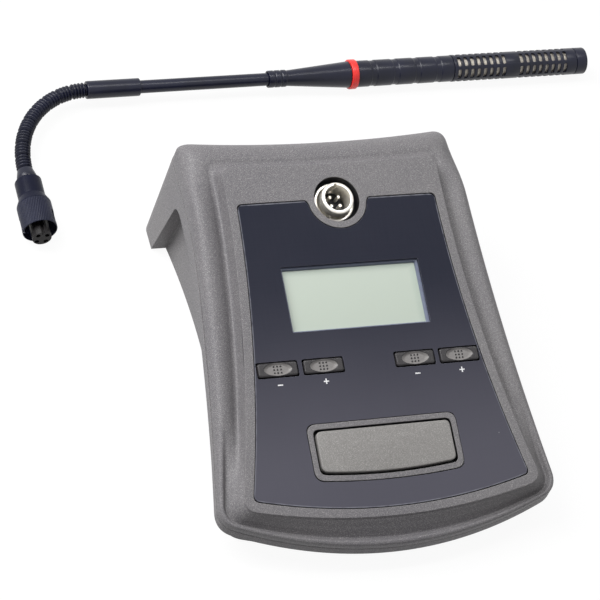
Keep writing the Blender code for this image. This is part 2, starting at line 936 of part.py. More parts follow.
def make_contacts(face):
    insulator_radius = socket_bore - gap
    insulator = new_part("socket_insulator", round_bar(insulator_radius, -insulator_tail,
                                                       -insulator_sunk), black_plastic, face)
    corners = {"rear_left": (-1, 1), "rear_right": (1, 1),
               "front_left": (-1, -1), "front_right": (1, -1)}
    for name, (side, end) in corners.items():
        place = (side * pin_square_half, end * pin_square_half, 0)
        hole = round_bar(pin_radius + gap, -insulator_tail - overrun, 0, small_round_steps)
        combine(insulator, new_tool("pin_hole_" + name, hole, face, place))
        steps = small_round_steps
        pin = stack([(circle_outline(pin_radius, steps), -pin_tail),
                     (circle_outline(pin_radius, steps), -pin_tip - pin_round),
                     (circle_outline(pin_radius - pin_round, steps), -pin_tip)])
        smooth(new_part("socket_pin_" + name, pin, nickel, face, place))
    smooth(insulator)


# Desk unit: lower housing
def housing_outline(inset=0.0, low=False):
    rear_half, rear = rim_rear_half, rim_rear_y
    if low:
        rear_half, rear = leg_rear_low_half, leg_rear_low_y
    return symmetric_outline(
        rim_front_half - inset, rim_front_y + inset, rear_half - inset, rear - inset,
        (rim_front_bow, rim_side_bow, rim_rear_bow),
        (rim_front_radius - inset / 2, rim_rear_radius - inset / 2), rim_edge_steps)


def pan_outline(inset=0.0, low=False):
    if not low:
        return rim_outline(pan_top_inset + inset, inside_edge_steps)
    return symmetric_outline(
        pan_low_front_half - inset, pan_low_front_y + inset,
        pan_low_rear_half - inset, pan_low_rear_y - inset,
        (pan_low_front_bow, pan_low_side_bow, 0),
        (rim_front_radius - inset / 2, rim_rear_radius - inset / 2), inside_edge_steps)


def skirt_height(y):
    share = min(1.0, max(0.0, y / skirt_taper_y))
    return skirt_rear + (skirt_front - skirt_rear) * share


def side_view(inset=0.0):
    """Skirt and leg seen from the side: what the housing keeps, up to above the seam."""
    leg_y = leg_front_low_y + inset
    line = []
    for y, height in seam_points():
        low = height - skirt_height(y) + inset
        if y > leg_y - leg_front_slope * (low - housing_lift) - leg_fillet - inset:
            break
        line.append(Vector((y, low)))
    corner_y = y + leg_fillet
    corner = Vector((corner_y, seam_height(corner_y) - skirt_height(corner_y) + inset))
    foot = Vector((leg_y, housing_lift + inset))
    down = (foot - corner).normalized()
    end = corner + down * leg_fillet
    start = line[-1]
    for step in range(1, corner_steps * 2):
        share = step / (corner_steps * 2)
        line.append(start * (1 - share) ** 2 + corner * 2 * share * (1 - share) + end * share ** 2)
    back = leg_rear_low_y + overrun
    roof = face_rise + overrun
    line += [end, foot, Vector((back, foot.y)), Vector((back, roof)), Vector((line[0].x, roof))]
    return line


def make_lower_housing(root):
    top, low = seam_level + overrun, housing_lift
    outer = loft([flat_ring(housing_outline(0, True), low - overrun),
                  flat_ring(housing_outline(), top)])
    housing = new_part("lower_housing", outer, grey_plastic, root)
    width = rim_front_half + overrun
    combine(housing, new_tool("side_view", side_prism(side_view(), width), root), "INTERSECT")
    pan = loft([flat_ring(pan_outline(0, True), low), flat_ring(pan_outline(), top - overrun / 4)])
    combine(housing, new_tool("pan", pan, root), "UNION")
    hollow = loft([flat_ring(housing_outline(housing_wall, True), low - overrun * 2),
                   flat_ring(housing_outline(housing_wall), top + overrun)])
    leg_hollow = new_tool("leg_hollow", hollow, root)
    inner_view = side_prism(side_view(housing_wall), width * 1.1)
    combine(leg_hollow, new_tool("inner_side_view", inner_view, root), "INTERSECT")
    combine(housing, leg_hollow)
    pan_hollow = loft([flat_ring(pan_outline(housing_wall, True), low - overrun),
                       flat_ring(pan_outline(housing_wall), top + overrun * 2)])
    combine(housing, new_tool("pan_hollow", pan_hollow, root))
    combine(housing, new_tool("above_seam", above_seam(), root))
    return smooth(housing)


# Desk unit: base plate, feet, screws and battery
def make_base_plate(root):
    inset = housing_wall + gap
    mesh = stack([(pan_outline(inset + gap, True), plate_low),
                  (pan_outline(inset + gap, True), plate_top)])
    base = new_part("base_plate", mesh, grey_plastic, root)
    steps = small_round_steps
    for place, (x, y) in foot_places.items():
        pocket = round_bar(foot_radius + gap, -overrun, plate_low + foot_pocket, foot_steps)
        combine(base, new_tool("foot_pocket_" + place, pocket, root, (x, y, 0)))
    for place, (x, y) in screw_places.items():
        counterbore = screw_head + gap
        hole = stack([(circle_outline(counterbore, steps), -overrun),
                      (circle_outline(counterbore, steps), plate_low + screw_head_thick + gap * 2),
                      (circle_outline(screw_shank + gap, steps),
                       plate_low + screw_head_thick + gap * 2),
                      (circle_outline(screw_shank + gap, steps), plate_top + overrun)])
        combine(base, new_tool("screw_hole_" + place, hole, root, (x, y, 0)))
    add_battery_bay(base, root)


def add_battery_bay(base, root):
    tray = [(box_outline(pack_half_x + tray_wall + gap, pack_half_y + tray_wall + gap,
                         pack_radius), plate_top - overrun / 3),
            (box_outline(pack_half_x + tray_wall + gap, pack_half_y + tray_wall + gap,
                         pack_radius), plate_top + tray_rise)]
    combine(base, new_tool("battery_tray", stack(tray), root, (0, pack_y, 0)), "UNION")
    bay = box_outline(pack_half_x + gap, pack_half_y + gap, pack_radius)
    bay = stack([(bay, -overrun), (bay, plate_top + tray_rise + overrun)])
    combine(base, new_tool("battery_bay", bay, root, (0, pack_y, 0)))
    reach = pack_half_y + door_lip + gap + door_travel / 2
    recess = box_outline(pack_half_x + door_lip + gap, reach, pack_radius)
    recess = stack([(recess, -overrun), (recess, plate_low + door_thick + gap)])
    combine(base, new_tool("door_recess", recess, root, (0, pack_y - door_travel / 2, 0)))


def make_battery(root):
    low = plate_low + door_thick + gap * 2
    pack = box_outline(pack_half_x, pack_half_y, pack_radius)
    new_part("battery_pack", stack([(pack, low), (pack, low + pack_thick)]), battery_wrap, root,
             (0, pack_y, 0))
    door = box_outline(pack_half_x + door_lip, pack_half_y + door_lip, pack_radius)
    new_part("battery_door", stack([(door, 0), (door, door_thick)]), grey_plastic, root,
             (0, pack_y, plate_low))


def make_fasteners(root):
    steps = foot_steps
    foot_top = plate_low + foot_pocket - gap
    for place, (x, y) in foot_places.items():
        foot = stack([(circle_outline(foot_radius - foot_taper, steps), 0),
                      (circle_outline(foot_radius, steps), foot_taper),
                      (circle_outline(foot_radius, steps), foot_top)])
        smooth(new_part("foot_" + place, foot, rubber, root, (x, y, 0)))
    steps = small_round_steps
    for place, (x, y) in screw_places.items():
        head_low = gap
        screw = stack([(circle_outline(screw_head, steps), head_low),
                       (circle_outline(screw_head, steps), head_low + screw_head_thick),
                       (circle_outline(screw_shank, steps), head_low + screw_head_thick),
                       (circle_outline(screw_shank, steps), screw_length)])
        smooth(new_part("screw_" + place, screw, steel, root, (x, y, plate_low)))


# Microphone: plug
def make_plug(plug):
    along = {"rotation": (-math.pi / 2, 0, 0)}
    length, edge = collar_length, collar_edge
    rear = length - collar_step
    bore = socket_radius + thread_play
    collar = turned_part("plug_collar", [
        (collar_rear_bore, length), (collar_rear_radius - edge, length),
        (collar_rear_radius, length - edge), (collar_rear_radius, rear),
        (collar_radius, rear - collar_taper), (collar_radius, edge), (collar_radius - edge, 0),
        (bore, 0), (bore, collar_bore_step), (collar_rear_bore, collar_bore_step)],
        black_metal, plug, **along)
    reach = collar_radius + overrun
    slot = stack([(box_outline(reach, slot_width / 2, key_edge), slot_setback),
                  (box_outline(reach, slot_width / 2, key_edge), slot_setback + slot_length)])
    slot.transform(Matrix.Rotation(slot_turn, 4, "Z"))
    half_slot = new_tool("collar_slots", slot, plug, **along)
    combine(collar, half_slot)
    smooth(collar)
    shell_radius = collar_rear_bore - gap
    shell = turned_part("plug_shell", [
        (insert_radius + gap, length + shell_proud),
        (shell_radius - edge / 2, length + shell_proud),
        (shell_radius, length + shell_proud - edge / 2), (shell_radius, shell_front),
        (insert_radius + gap, shell_front)], nickel, plug, **along)
    smooth(shell)
    make_insert(plug, along)
    make_ferrule(plug, along)


def make_insert(plug, along):
    steps = round_steps
    mesh = stack([(circle_outline(insert_radius, steps), -insert_proud),
                  (circle_outline(insert_radius, steps), insert_rear)])
    insert = new_part("plug_insert", mesh, black_plastic, plug, **along)
    way = box_outline(insert_key / 2, insert_key, key_edge / 2, (0, -insert_radius))
    way = stack([(way, -insert_proud - overrun), (way, shell_front - overrun)])
    combine(insert, new_tool("insert_key", way, plug, **along))
    for side in (-1, 1):
        for end in (-1, 1):
            middle = (side * pin_square_half, end * pin_square_half)
            hole = circle_outline(pin_radius + gap, small_round_steps, middle)
            hole = stack([(hole, -insert_proud - overrun), (hole, contact_deep - insert_proud)])
            combine(insert, new_tool("contact_hole", hole, plug, **along))
    return smooth(insert)


def make_ferrule(plug, along):
    """The cone behind the collar; its spigot fits the shell, its far end is the first ball."""
    low = collar_length + shell_proud + gap
    high = collar_length + ferrule_length
    ferrule = turned_part("neck_ferrule", [
        (0, high), (neck_radius, high), (ferrule_radius, low + ferrule_length / 4),
        (ferrule_radius, low), (ferrule_spigot_radius, low),
        (ferrule_spigot_radius, low - ferrule_spigot), (0, low - ferrule_spigot)],
        black_metal, plug, closed=False, **along)
    ball = new_tool("ferrule_ball", ball_mesh(ball_radius), plug,
                    (0, high + neck_gap / 2, 0))
    combine(ferrule, ball, "UNION")
    bore = new_tool("ferrule_bore", round_bar(neck_bore, low - ferrule_spigot - overrun,
                                              high + ball_radius * 2, small_round_steps),
                    plug, **along)
    combine(ferrule, bore)
    return smooth(ferrule)


# Microphone: gooseneck
def neck_heading(place):
    share = place / neck_length
    return neck_bend * (neck_bend_even_share * share + (1 - neck_bend_even_share) * share ** 2)


def neck_path():
    """Points of the bent centreline from its start, at even steps."""
    step = neck_length / path_steps
    points = [Vector((0, 0, 0))]
    for index in range(path_steps):
        heading = neck_heading((index + 0.5) * step)
        points.append(points[-1] + Vector((math.sin(heading), math.cos(heading), 0)) * step)
    return points


neck_points = neck_path()


def neck_point(place):
    """A point on the centreline, or on its straight run past either end."""
    inside = min(neck_length, max(0.0, place))
    exact = inside / neck_length * path_steps
    index = min(path_steps - 1, int(exact))
    point = neck_points[index].lerp(neck_points[index + 1], exact - index)
    heading = neck_heading(inside)
    return point + Vector((math.sin(heading), math.cos(heading), 0)) * (place - inside)


def neck_matrix(place):
    """A frame on the centreline whose Y runs along it."""
    return Matrix.Translation(neck_point(place)) @ Matrix.Rotation(-neck_heading(
        min(neck_length, max(0.0, place))), 4, "Z")


link_length = (neck_length - neck_gap * (neck_links + 1)) / neck_links
link_pitch = link_length + neck_gap


def link_points(places, frame):
    back = frame.inverted()
    return [back @ neck_point(place) for place in places]


def make_link(number, parent, parent_matrix):
    """A ribbed link from hinge to hinge, with a cup at its start and a ball at its end."""
    hinge_place = number * link_pitch + neck_gap / 2
    start = hinge_place + neck_gap / 2
    end = start + link_length
    frame = neck_matrix(hinge_place)
    steps = neck_ribs * 2
    places = [hinge_place + link_pitch * step / steps for step in range(steps + 1)]
    places[0], places[-1] = start, end
    radii = [neck_radius if step % 2 else neck_valley for step in range(steps + 1)]
    mesh = tube_mesh(link_points(places, frame), radii, neck_sides_resolution)
    local = parent_matrix.inverted() @ frame
    name = "neck_link_" + str(number + 1)
    link = new_part(name, mesh, black_metal, parent, local.to_translation(), local.to_euler())
    ball_place = frame.inverted() @ neck_point(end + neck_gap / 2)
    combine(link, new_tool(name + "_ball", ball_mesh(ball_radius), link, ball_place), "UNION")
    combine(link, new_tool(name + "_cup", ball_mesh(cup_radius), link))
    bore = tube_mesh(link_points((start - neck_gap, end + ball_radius * 2), frame),
                     (neck_bore, neck_bore), bore_sides_resolution)
    combine(link, new_tool(name + "_bore", bore, link))
    smooth(link, math.radians(60))
    return link, frame


def make_gooseneck(plug):
    start = Matrix.Translation((0, collar_length + ferrule_length, 0))
    parent, matrix = new_frame("neck_start", plug, start.to_translation()), Matrix()
    for number in range(neck_links):
        parent, matrix = make_link(number, parent, matrix)
    return parent, matrix


# Microphone: stem and head, turned parts along one line from the last hinge
def grooved_side(start, end, places, width, depth, radius):
    """The outer side of a tube with round grooves, from its far end to its near end."""
    points = []
    for place in sorted(places, reverse=True):
        middle = start + (end - start) * place
        points += [(radius, middle + width / 2), (radius - depth, middle + width / 2 - depth),
                   (radius - depth, middle - width / 2 + depth), (radius, middle - width / 2)]
    return points


def make_stem(head):
    start = neck_gap / 2
    end = start + sleeve_length
    bore = tube_radius + gap
    along = {"rotation": (-math.pi / 2, 0, 0)}
    tube_low = end - tube_held
    sleeve = turned_part("stem_sleeve", [
        (bore, end), (sleeve_radius - sleeve_edge, end), (sleeve_radius, end - sleeve_edge),
        (sleeve_radius, start + sleeve_edge), (sleeve_radius - sleeve_edge, start),
        (neck_bore, start), (neck_bore, tube_low - gap), (bore, tube_low - gap)],
        black_metal, head, **along)
    combine(sleeve, new_tool("sleeve_cup", ball_mesh(cup_radius), head))
    smooth(sleeve)
    tube_end = end + tube_seen
    tube_tip = tube_end + taper_grip
    tube = turned_part("stem_tube", [
        (tube_bore, tube_tip), (tube_radius, tube_tip), (tube_radius, tube_low),
        (tube_bore, tube_low)], black_metal, head, **along)
    smooth(tube)
    return tube_end


def make_taper(head, start):
    """The neck that widens from the thin tube to the head, with two grooves at its root."""
    along = {"rotation": (-math.pi / 2, 0, 0)}
    root = start + taper_ring_length
    end = root + taper_length
    spigot_end = end + ring_length + spigot_length
    grooves = grooved_side(start, root, taper_groove_shares, taper_groove_width,
                           taper_groove_deep, taper_ring_radius)
    taper = turned_part("head_taper", [
        (tube_bore, spigot_end), (spigot_radius, spigot_end), (spigot_radius, end),
        (body_radius - ring_edge / 2, end), (body_radius, end - ring_edge),
        (taper_start_radius, root + ring_edge), (taper_start_radius, root),
        (taper_ring_radius, root), *grooves, (taper_ring_radius, start),
        (tube_radius + gap, start), (tube_radius + gap, start + taper_grip + gap),
        (tube_bore, start + taper_grip + gap)], black_metal, head, **along)
    smooth(taper)
    ring_low, ring_high = end + gap, end + ring_length - gap
    ring = turned_part("light_ring", [
        (head_bore, ring_high), (ring_radius - ring_edge, ring_high),
        (ring_radius, ring_high - ring_edge), (ring_radius, ring_low + ring_edge),
        (ring_radius - ring_edge, ring_low), (head_bore, ring_low)], red_ring, head, **along)
    smooth(ring)
    return end + ring_length, spigot_end


def make_head_body(head, start, spigot_end):
    along = {"rotation": (-math.pi / 2, 0, 0)}
    end = start + body_length
    grooves = grooved_side(start, end, groove_place_shares, groove_width, groove_deep, body_radius)
    capsule_low = end - capsule_back - capsule_length
    inner = capsule_radius + gap
    body = turned_part("head_body", [
        (inner, end + body_spigot), (spigot_radius + gap / 2, end + body_spigot),
        (spigot_radius + gap / 2, end), (body_radius, end), *grooves, (body_radius, start),
        (head_bore, start), (head_bore, spigot_end + gap), (tube_bore, spigot_end + gap),
        (tube_bore, capsule_low - gap), (inner, capsule_low - gap)], black_metal, head, **along)
    smooth(body)
    capsule = turned_part("microphone_capsule", [
        (0, capsule_low + capsule_length), (capsule_radius, capsule_low + capsule_length),
        (capsule_radius, capsule_low), (0, capsule_low)], mesh_metal, head, closed=False, **along)
    smooth(capsule)
    return end


def slotted_rows():
    """Heights along the slotted tube, and whether the band above each is open."""
    rows = [(0.0, False)]
    place = group_start
    for group in range(2):
        for slot in range(slots_per_group):
            rows.append((place, True))
            rows.append((place + slot_open, False))
            place += slot_pitch
        place += group_gap - (slot_pitch - slot_open)
    rows.append((slotted_length, False))
    return rows


def slotted_mesh():
    """An open tube wall of small panels, left out where the slots are."""
    pitch = 2 * math.pi / slot_rows
    turns = []
    for row in range(slot_rows):
        first = slot_phase + row * pitch
        turns += [(first, True), (first + pitch * slot_round_share / 2, True),
                  (first + pitch * slot_round_share, False)]
    rows = slotted_rows()
    body = bmesh.new()
    grid = []
    for height, _ in rows:
        grid.append([body.verts.new((head_radius * math.cos(turn), head_radius * math.sin(turn),
                                     height)) for turn, _ in turns])
    count = len(turns)
    for level in range(len(rows) - 1):
        for index in range(count):
            if rows[level][1] and turns[index][1]:
                continue
            after = (index + 1) % count
            body.faces.new((grid[level][index], grid[level][after],
                            grid[level + 1][after], grid[level + 1][index]))
    mesh = bpy.data.meshes.new("slotted")
    body.to_mesh(mesh)
    body.free()
    return mesh


def make_slotted_tube(head, start):
    along = {"rotation": (-math.pi / 2, 0, 0)}
    tube = new_part("slotted_tube", slotted_mesh(), black_metal, head,
                    (0, start + gap, 0), **along)
    wall = tube.modifiers.new("wall", "SOLIDIFY")
    wall.thickness = slotted_wall
    wall.offset = -1
    smooth(tube)
    screen_low = start + body_spigot + gap
    end = start + gap + slotted_length + gap
    screen_high = end - spigot_length / 2 - gap
    outer = head_radius - slotted_wall - gap * 2
    screen = turned_part("mesh_screen", [
        (outer - mesh_wall, screen_high), (outer, screen_high), (outer, screen_low),
        (outer - mesh_wall, screen_low)], mesh_metal, head, **along)
    smooth(screen)
    return end


def make_end_cap(head, start):
    along = {"rotation": (-math.pi / 2, 0, 0)}
    end = start + cap_length
    inner = head_radius - slotted_wall - gap * 2
    low = start - spigot_length / 2
    cap = turned_part("end_cap", [
        (0, end - cap_edge), (head_radius - cap_edge * 3, end - cap_edge),
        (head_radius - cap_edge * 2, end), (head_radius - cap_edge, end),
        (head_radius, end - cap_edge), (head_radius, start), (inner, start),
        (inner, low), (0, low)], black_metal, head, closed=False, **along)
    smooth(cap)


def make_head(last_link, matrix):
    hinge_point = neck_point(neck_links * link_pitch + neck_gap / 2)
    hinge = Matrix.Translation(hinge_point) @ Matrix.Rotation(-neck_bend, 4, "Z")
    local = matrix.inverted() @ hinge
    head = new_frame("head_frame", last_link, local.to_translation(), local.to_euler())
    tube_end = make_stem(head)
    ring_end, spigot_end = make_taper(head, tube_end)
    body_end = make_head_body(head, ring_end, spigot_end)
    slotted_end = make_slotted_tube(head, body_end)
    make_end_cap(head, slotted_end)


# The whole set
def make_desk_unit(root):
    face = new_frame("face_frame", root, (0, 0, face_rise), (face_angle, 0, 0))
    bpy.context.view_layer.update()
    make_top_cover(root, face)
    make_overlay_panel(face)
    make_display(face)
    make_board(face)
    make_talk_key(face)
    make_keys(face)
    make_socket(face)
    make_lower_housing(root)
    make_base_plate(root)
    make_battery(root)
    make_fasteners(root)


def make_microphone(root):
    plug = new_frame("plug_frame", root, (plug_x, plug_front_y, collar_radius))
    make_plug(plug)
    last_link, matrix = make_gooseneck(plug)
    make_head(last_link, matrix)


def centre_on_footprint(root):
    """Moves the set so that its origin is the middle of its footprint on the table."""
    bpy.context.view_layer.update()
    depsgraph = bpy.context.evaluated_depsgraph_get()
    corners = [part.matrix_world @ Vector(corner) for part in parts.objects if part.type == "MESH"
               for corner in part.evaluated_get(depsgraph).bound_box]
    for axis in range(2):
        places = [corner[axis] for corner in corners]
        root.location[axis] = -(min(places) + max(places)) / 2


root_frame = new_frame("set_origin")
make_desk_unit(root_frame)
make_microphone(root_frame)
centre_on_footprint(root_frame)
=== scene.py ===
import json
import math

import bmesh
import bpy
from mathutils import Matrix, Vector


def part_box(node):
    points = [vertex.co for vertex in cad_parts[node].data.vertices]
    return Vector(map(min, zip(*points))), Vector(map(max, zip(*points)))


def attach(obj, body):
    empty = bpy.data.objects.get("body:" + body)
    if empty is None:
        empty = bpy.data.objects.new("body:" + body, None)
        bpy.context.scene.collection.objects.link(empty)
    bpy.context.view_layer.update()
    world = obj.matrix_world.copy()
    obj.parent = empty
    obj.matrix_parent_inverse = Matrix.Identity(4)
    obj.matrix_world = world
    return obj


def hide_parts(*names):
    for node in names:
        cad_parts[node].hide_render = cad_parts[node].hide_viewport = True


# Looks of a wireless podium microphone: a sloping desk unit, and its gooseneck
# microphone lying on the table behind it. Metres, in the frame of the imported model.
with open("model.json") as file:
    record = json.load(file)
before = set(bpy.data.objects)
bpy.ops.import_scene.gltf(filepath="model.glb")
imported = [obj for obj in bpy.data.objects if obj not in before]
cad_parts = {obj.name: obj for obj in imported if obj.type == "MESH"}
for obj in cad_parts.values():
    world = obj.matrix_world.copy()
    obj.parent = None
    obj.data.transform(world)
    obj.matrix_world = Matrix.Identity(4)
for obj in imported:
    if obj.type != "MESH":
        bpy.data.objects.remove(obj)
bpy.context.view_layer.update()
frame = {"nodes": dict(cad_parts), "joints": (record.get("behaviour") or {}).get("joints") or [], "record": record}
nodes = frame["nodes"]
joints = {joint["name"]: joint for joint in frame["joints"]}
studio = bpy.context.scene.collection
print("frame: {} nodes, {} joints".format(len(nodes), len(joints)))


# Camera, at the place the photograph was taken from
view = {
    "place": (-0.457526, -0.660606, 0.9592),
    "turn": (37.247, -13.662, -15.237),      # degrees
    "lens": 150.59,                          # mm, on a 36 mm sensor
}


def makeCamera():
    camera = bpy.data.cameras.new("photoView")
    camera.sensor_width = 36
    camera.lens = view["lens"]
    camera.clip_start = 0.05
    camera.clip_end = 20
    holder = bpy.data.objects.new("photoView", camera)
    studio.objects.link(holder)
    holder.location = view["place"]
    holder.rotation_euler = [math.radians(turn) for turn in view["turn"]]
    bpy.context.scene.camera = holder


makeCamera()
print("camera set")


# Shader maths: a wire is one socket, and sums and products of wires add Math nodes
class Wire:
    def __init__(self, owner, socket):
        self.owner = owner
        self.socket = socket

    def math(self, operation, first, second=0.0):
        return self.owner.add("Math", {"operation": operation}, {0: first, 1: second})

    def __add__(self, other):
        return self.math("ADD", self, other)

    def __sub__(self, other):
        return self.math("SUBTRACT", self, other)

    def __rsub__(self, other):
        return self.math("SUBTRACT", other, self)

    def __mul__(self, other):
        return self.math("MULTIPLY", self, other)

    def __truediv__(self, other):
        return self.math("DIVIDE", self, other)

    def __pow__(self, other):
        return self.math("POWER", self, other)

    __radd__ = __add__
    __rmul__ = __mul__

    def sine(self):
        return self.math("SINE", self)

    def size(self):
        return self.math("ABSOLUTE", self)

    def angleTo(self, other):
        return self.math("ARCTAN2", self, other)

    def least(self, other):
        return self.math("MINIMUM", self, other)

    def most(self, other):
        return self.math("MAXIMUM", self, other)

    def between(self, low, high):    # 0 at low, 1 at high, smooth on the way
        return self.owner.add("MapRange", {"interpolation_type": "SMOOTHSTEP"},
                              {"Value": self, "From Min": low, "From Max": high})


# The nodes of one tree, of a material or of the world
class Nodes:
    def __init__(self, tree):
        self.tree = tree

    # Any node: its kind, its settings, then the values or wires of its sockets
    def add(self, kind, settings=None, sockets=None, output=0):
        node = self.tree.nodes.new("ShaderNode" + kind)
        for name, value in (settings or {}).items():
            setattr(node, name, value)
        for name, value in (sockets or {}).items():
            self.feed(node.inputs[name], value)
        return Wire(self, node.outputs[output])

    def feed(self, socket, value):
        if isinstance(value, Wire):
            self.tree.links.new(value.socket, socket)
        else:
            socket.default_value = value


# A finish is one material: a Principled shader, and the nodes that feed it
class Finish(Nodes):
    def __init__(self, name, **plain):
        self.material = bpy.data.materials.new(name)
        self.material.use_nodes = True
        super().__init__(self.material.node_tree)
        self.shader = self.tree.nodes["Principled BSDF"]
        self.shade(**plain)

    def shade(self, **wires):
        for name, wire in wires.items():
            self.feed(self.shader.inputs[name.replace("_", " ")], wire)

    def place(self):
        return self.add("TexCoord", output="Object")

    def split(self, vector):
        return [self.add("SeparateXYZ", None, {0: vector}, axis) for axis in range(3)]

    def stretched(self, vector, scales):
        return self.add("VectorMath", {"operation": "MULTIPLY"}, {0: vector, 1: scales})

    def noise(self, scale, detail=2.0, roughness=0.5, vector=None):
        return self.add("TexNoise", None, {"Vector": vector or self.place(), "Scale": scale,
                                           "Detail": detail, "Roughness": roughness})

    def cells(self, scale):
        return self.add("TexVoronoi", {"feature": "F1"},
                        {"Vector": self.place(), "Scale": scale})

    def blendColors(self, factor, first, second):
        return self.add("Mix", {"data_type": "RGBA"}, {0: factor, 6: first, 7: second}, 2)

    def rounded(self, radius):    # the surface's direction, turned smoothly round its edges
        return self.add("Bevel", {"samples": 4}, {"Radius": radius})

    def edges(self, radius):      # 1 along sharp edges, 0 on the flat
        flat = self.add("NewGeometry", output="Normal")
        dot = self.add("VectorMath", {"operation": "DOT_PRODUCT"},
                       {0: self.rounded(radius), 1: flat}, "Value")
        return (1 - dot).between(0.015, 0.20)

    def relief(self, height, distance, strength=1.0, normal=None):
        sockets = {"Height": height, "Distance": distance, "Strength": strength}
        if normal:
            sockets["Normal"] = normal
        return self.add("Bump", None, sockets)


def tone(red, green, blue):    # a colour as a screen shows it, 0 to 255
    shares = [part / 255 for part in (red, green, blue)]
    return tuple(share / 12.92 if share <= 0.04045 else ((share + 0.055) / 1.055) ** 2.4
                 for share in shares) + (1.0,)


# Grey satin lacquer of the cover and the housing, with a fine light speckle and edges lightened by wear and a
# painted highlight; the cover's own copy adds painted shade
lacquer = {
    "dark": tone(103, 101, 105),
    "light": tone(116, 114, 116),
    "speck": tone(174, 171, 170),
    # the edges' tone, for wear and a painted highlight
    "wornAndLit": tone(170, 167, 165),
    "speckScale": 3300.0,
    "grainScale": 1500.0,
    "grainDepth": 0.00002,
    "edgeRadius": 0.0004,
}


def lacquerFinish(name, values, shadowed=False):
    made = Finish(name, Metallic=0.0, IOR=1.45, Specular_IOR_Level=0.3)
    cloud = made.noise(9, 3, 0.5).between(0.30, 0.70)
    speck = made.noise(values["speckScale"], 1, 0.4)
    color = made.blendColors(cloud, values["dark"], values["light"])
    color = made.blendColors(speck.between(0.50, 0.66) * 0.6, color, values["speck"])
    edge = made.edges(values["edgeRadius"])
    scuff = made.noise(160, 3, 0.6).between(0.35, 0.60)
    # painted highlight, broken up by scuffs of wear: the edges lightened into a light line
    color = made.blendColors(edge * (0.3 + scuff * 0.4), color, values["wornAndLit"])
    if shadowed:
        # painted shade on the bevel round the display
        color = windowShade(made, color)
        # painted shade: near black down the gaps round the panel and in the socket's well
        color = made.blendColors(recessShade(made), color, recess["color"])
    grain = made.noise(values["grainScale"], 2, 0.6)
    roughness = 0.42 + cloud * 0.04 + grain * 0.08 - edge * 0.06
    made.shade(Base_Color=color, Roughness=roughness,
               Normal=made.relief(grain + speck * 0.5, values["grainDepth"], 0.5,
                                  made.rounded(values["edgeRadius"])))
    return made.material


# Face of the desk unit: u to the right, v up the slope from the socket, n out of it
face = {
    "tilt": 16.0,
    "rise": 0.069,
    "footY": -0.122,
}
footLow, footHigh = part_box("foot_front_left")
coverLow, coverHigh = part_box("top_cover")
deskX = (coverLow.x + coverHigh.x) / 2
deskY = (footLow.y + footHigh.y) / 2 - face["footY"]
deskOrigin = Vector((deskX, deskY, 0))
deskMatrix = Matrix.Translation(deskOrigin)
faceTurn = math.radians(face["tilt"])
faceMatrix = (deskMatrix @ Matrix.Translation((0, 0, face["rise"]))
              @ Matrix.Rotation(faceTurn, 4, "X"))

# Overlay panel: half width and v at its front and rear, bows outwards, corner radii
panel = {
    "front": (0.0682, -0.1425), "rear": (0.0502, 0.0), "bows": (0.009, -0.004, 0),
    "radii": (0.003, 0.003), "top": -0.0002, "thick": 0.0010, "play": 0.0001,
}
panelSpread = (panel["front"][0] - panel["rear"][0]) / (panel["rear"][1] - panel["front"][1])
window = {
    "half": 0.0343, "rear": -0.0328, "front": -0.0644, "bevel": 0.0008, "radius": 0.0006,
    # rim: painted shade, the shaded blue-grey on the bevel round the display
    "rim": tone(118, 124, 144),
    "glass": tone(182, 193, 180), "glassShade": tone(150, 166, 152),
}
recess = {    # painted shade: near black for what is seen down the gaps round the panel, and on the wall of the socket's well
    "low": -0.00045, "sideMargin": 0.0008, "frontMargin": 0.0013, "bowMargin": 0.0005,
    "wellRadius": 0.0124, "color": tone(30, 30, 33),
}


def facePlaces(made):    # u, v and n of a point, as wires
    x, y, z = made.split(made.place())
    rise = z - face["rise"]
    along = y - deskOrigin.y
    return (x - deskOrigin.x, along * math.cos(faceTurn) + rise * math.sin(faceTurn),
            rise * math.cos(faceTurn) - along * math.sin(faceTurn))


def insideWindow(made, margin, soft):    # 1 within the display's window, and this much past it
    u, v = facePlaces(made)[:2]
    middle = (window["rear"] + window["front"]) / 2
    half = (window["rear"] - window["front"]) / 2
    across = 1 - u.size().between(window["half"] + margin - soft, window["half"] + margin)
    along = 1 - (v - middle).size().between(half + margin - soft, half + margin)
    return across * along


def windowShade(made, color):    # painted shade: the bevel round the display is coloured a shaded blue-grey
    return made.blendColors(insideWindow(made, 0.0010, 0.0002), color, window["rim"])


def recessShade(made):    # painted shade: 1 below the face, inside the panel's outline or in the well
    u, v, n = facePlaces(made)
    half = panel["rear"][0] + recess["sideMargin"]
    side = 1 - (u.size() + v * panelSpread).between(half, half + 0.0002)
    bow = (panel["bows"][0] + recess["bowMargin"]) / panel["front"][0] ** 2
    tip = panel["front"][1] - panel["bows"][0] - recess["frontMargin"]
    along = (v - u * u * bow).between(tip, tip + 0.0003)
    flat = side * along * (1 - v.between(0.0002, 0.0004))
    well = 1 - (u * u + v * v).between((recess["wellRadius"] - 0.0003) ** 2,
                                       recess["wellRadius"] ** 2)
    deep = 1 - n.between(recess["low"] - 0.0002, recess["low"])
    return flat.most(well) * deep * (1 - insideWindow(made, 0.0012, 0.0001))


# Overlay panel: dark blue-grey sheet with faint brushing and a little dust, lighter towards the front as a painted
# reflection, its edges with a painted highlight
sheet = {
    "dark": tone(20, 24, 40),
    # light: the sheet's front, lightened as a painted reflection
    "light": tone(88, 87, 97),
    # rim: painted highlight along the sheet's edges
    "rim": tone(128, 129, 138),
    "dust": tone(165, 165, 170),
    "sideRim": (0.0007, 0.0003),    # how far in the rim starts, and where it is full
    "endRim": (0.0008, 0.0004),
}


def downPanel(v):    # 0 at the panel's rear, 1 at its front corners
    return v * (1 / panel["front"][1])


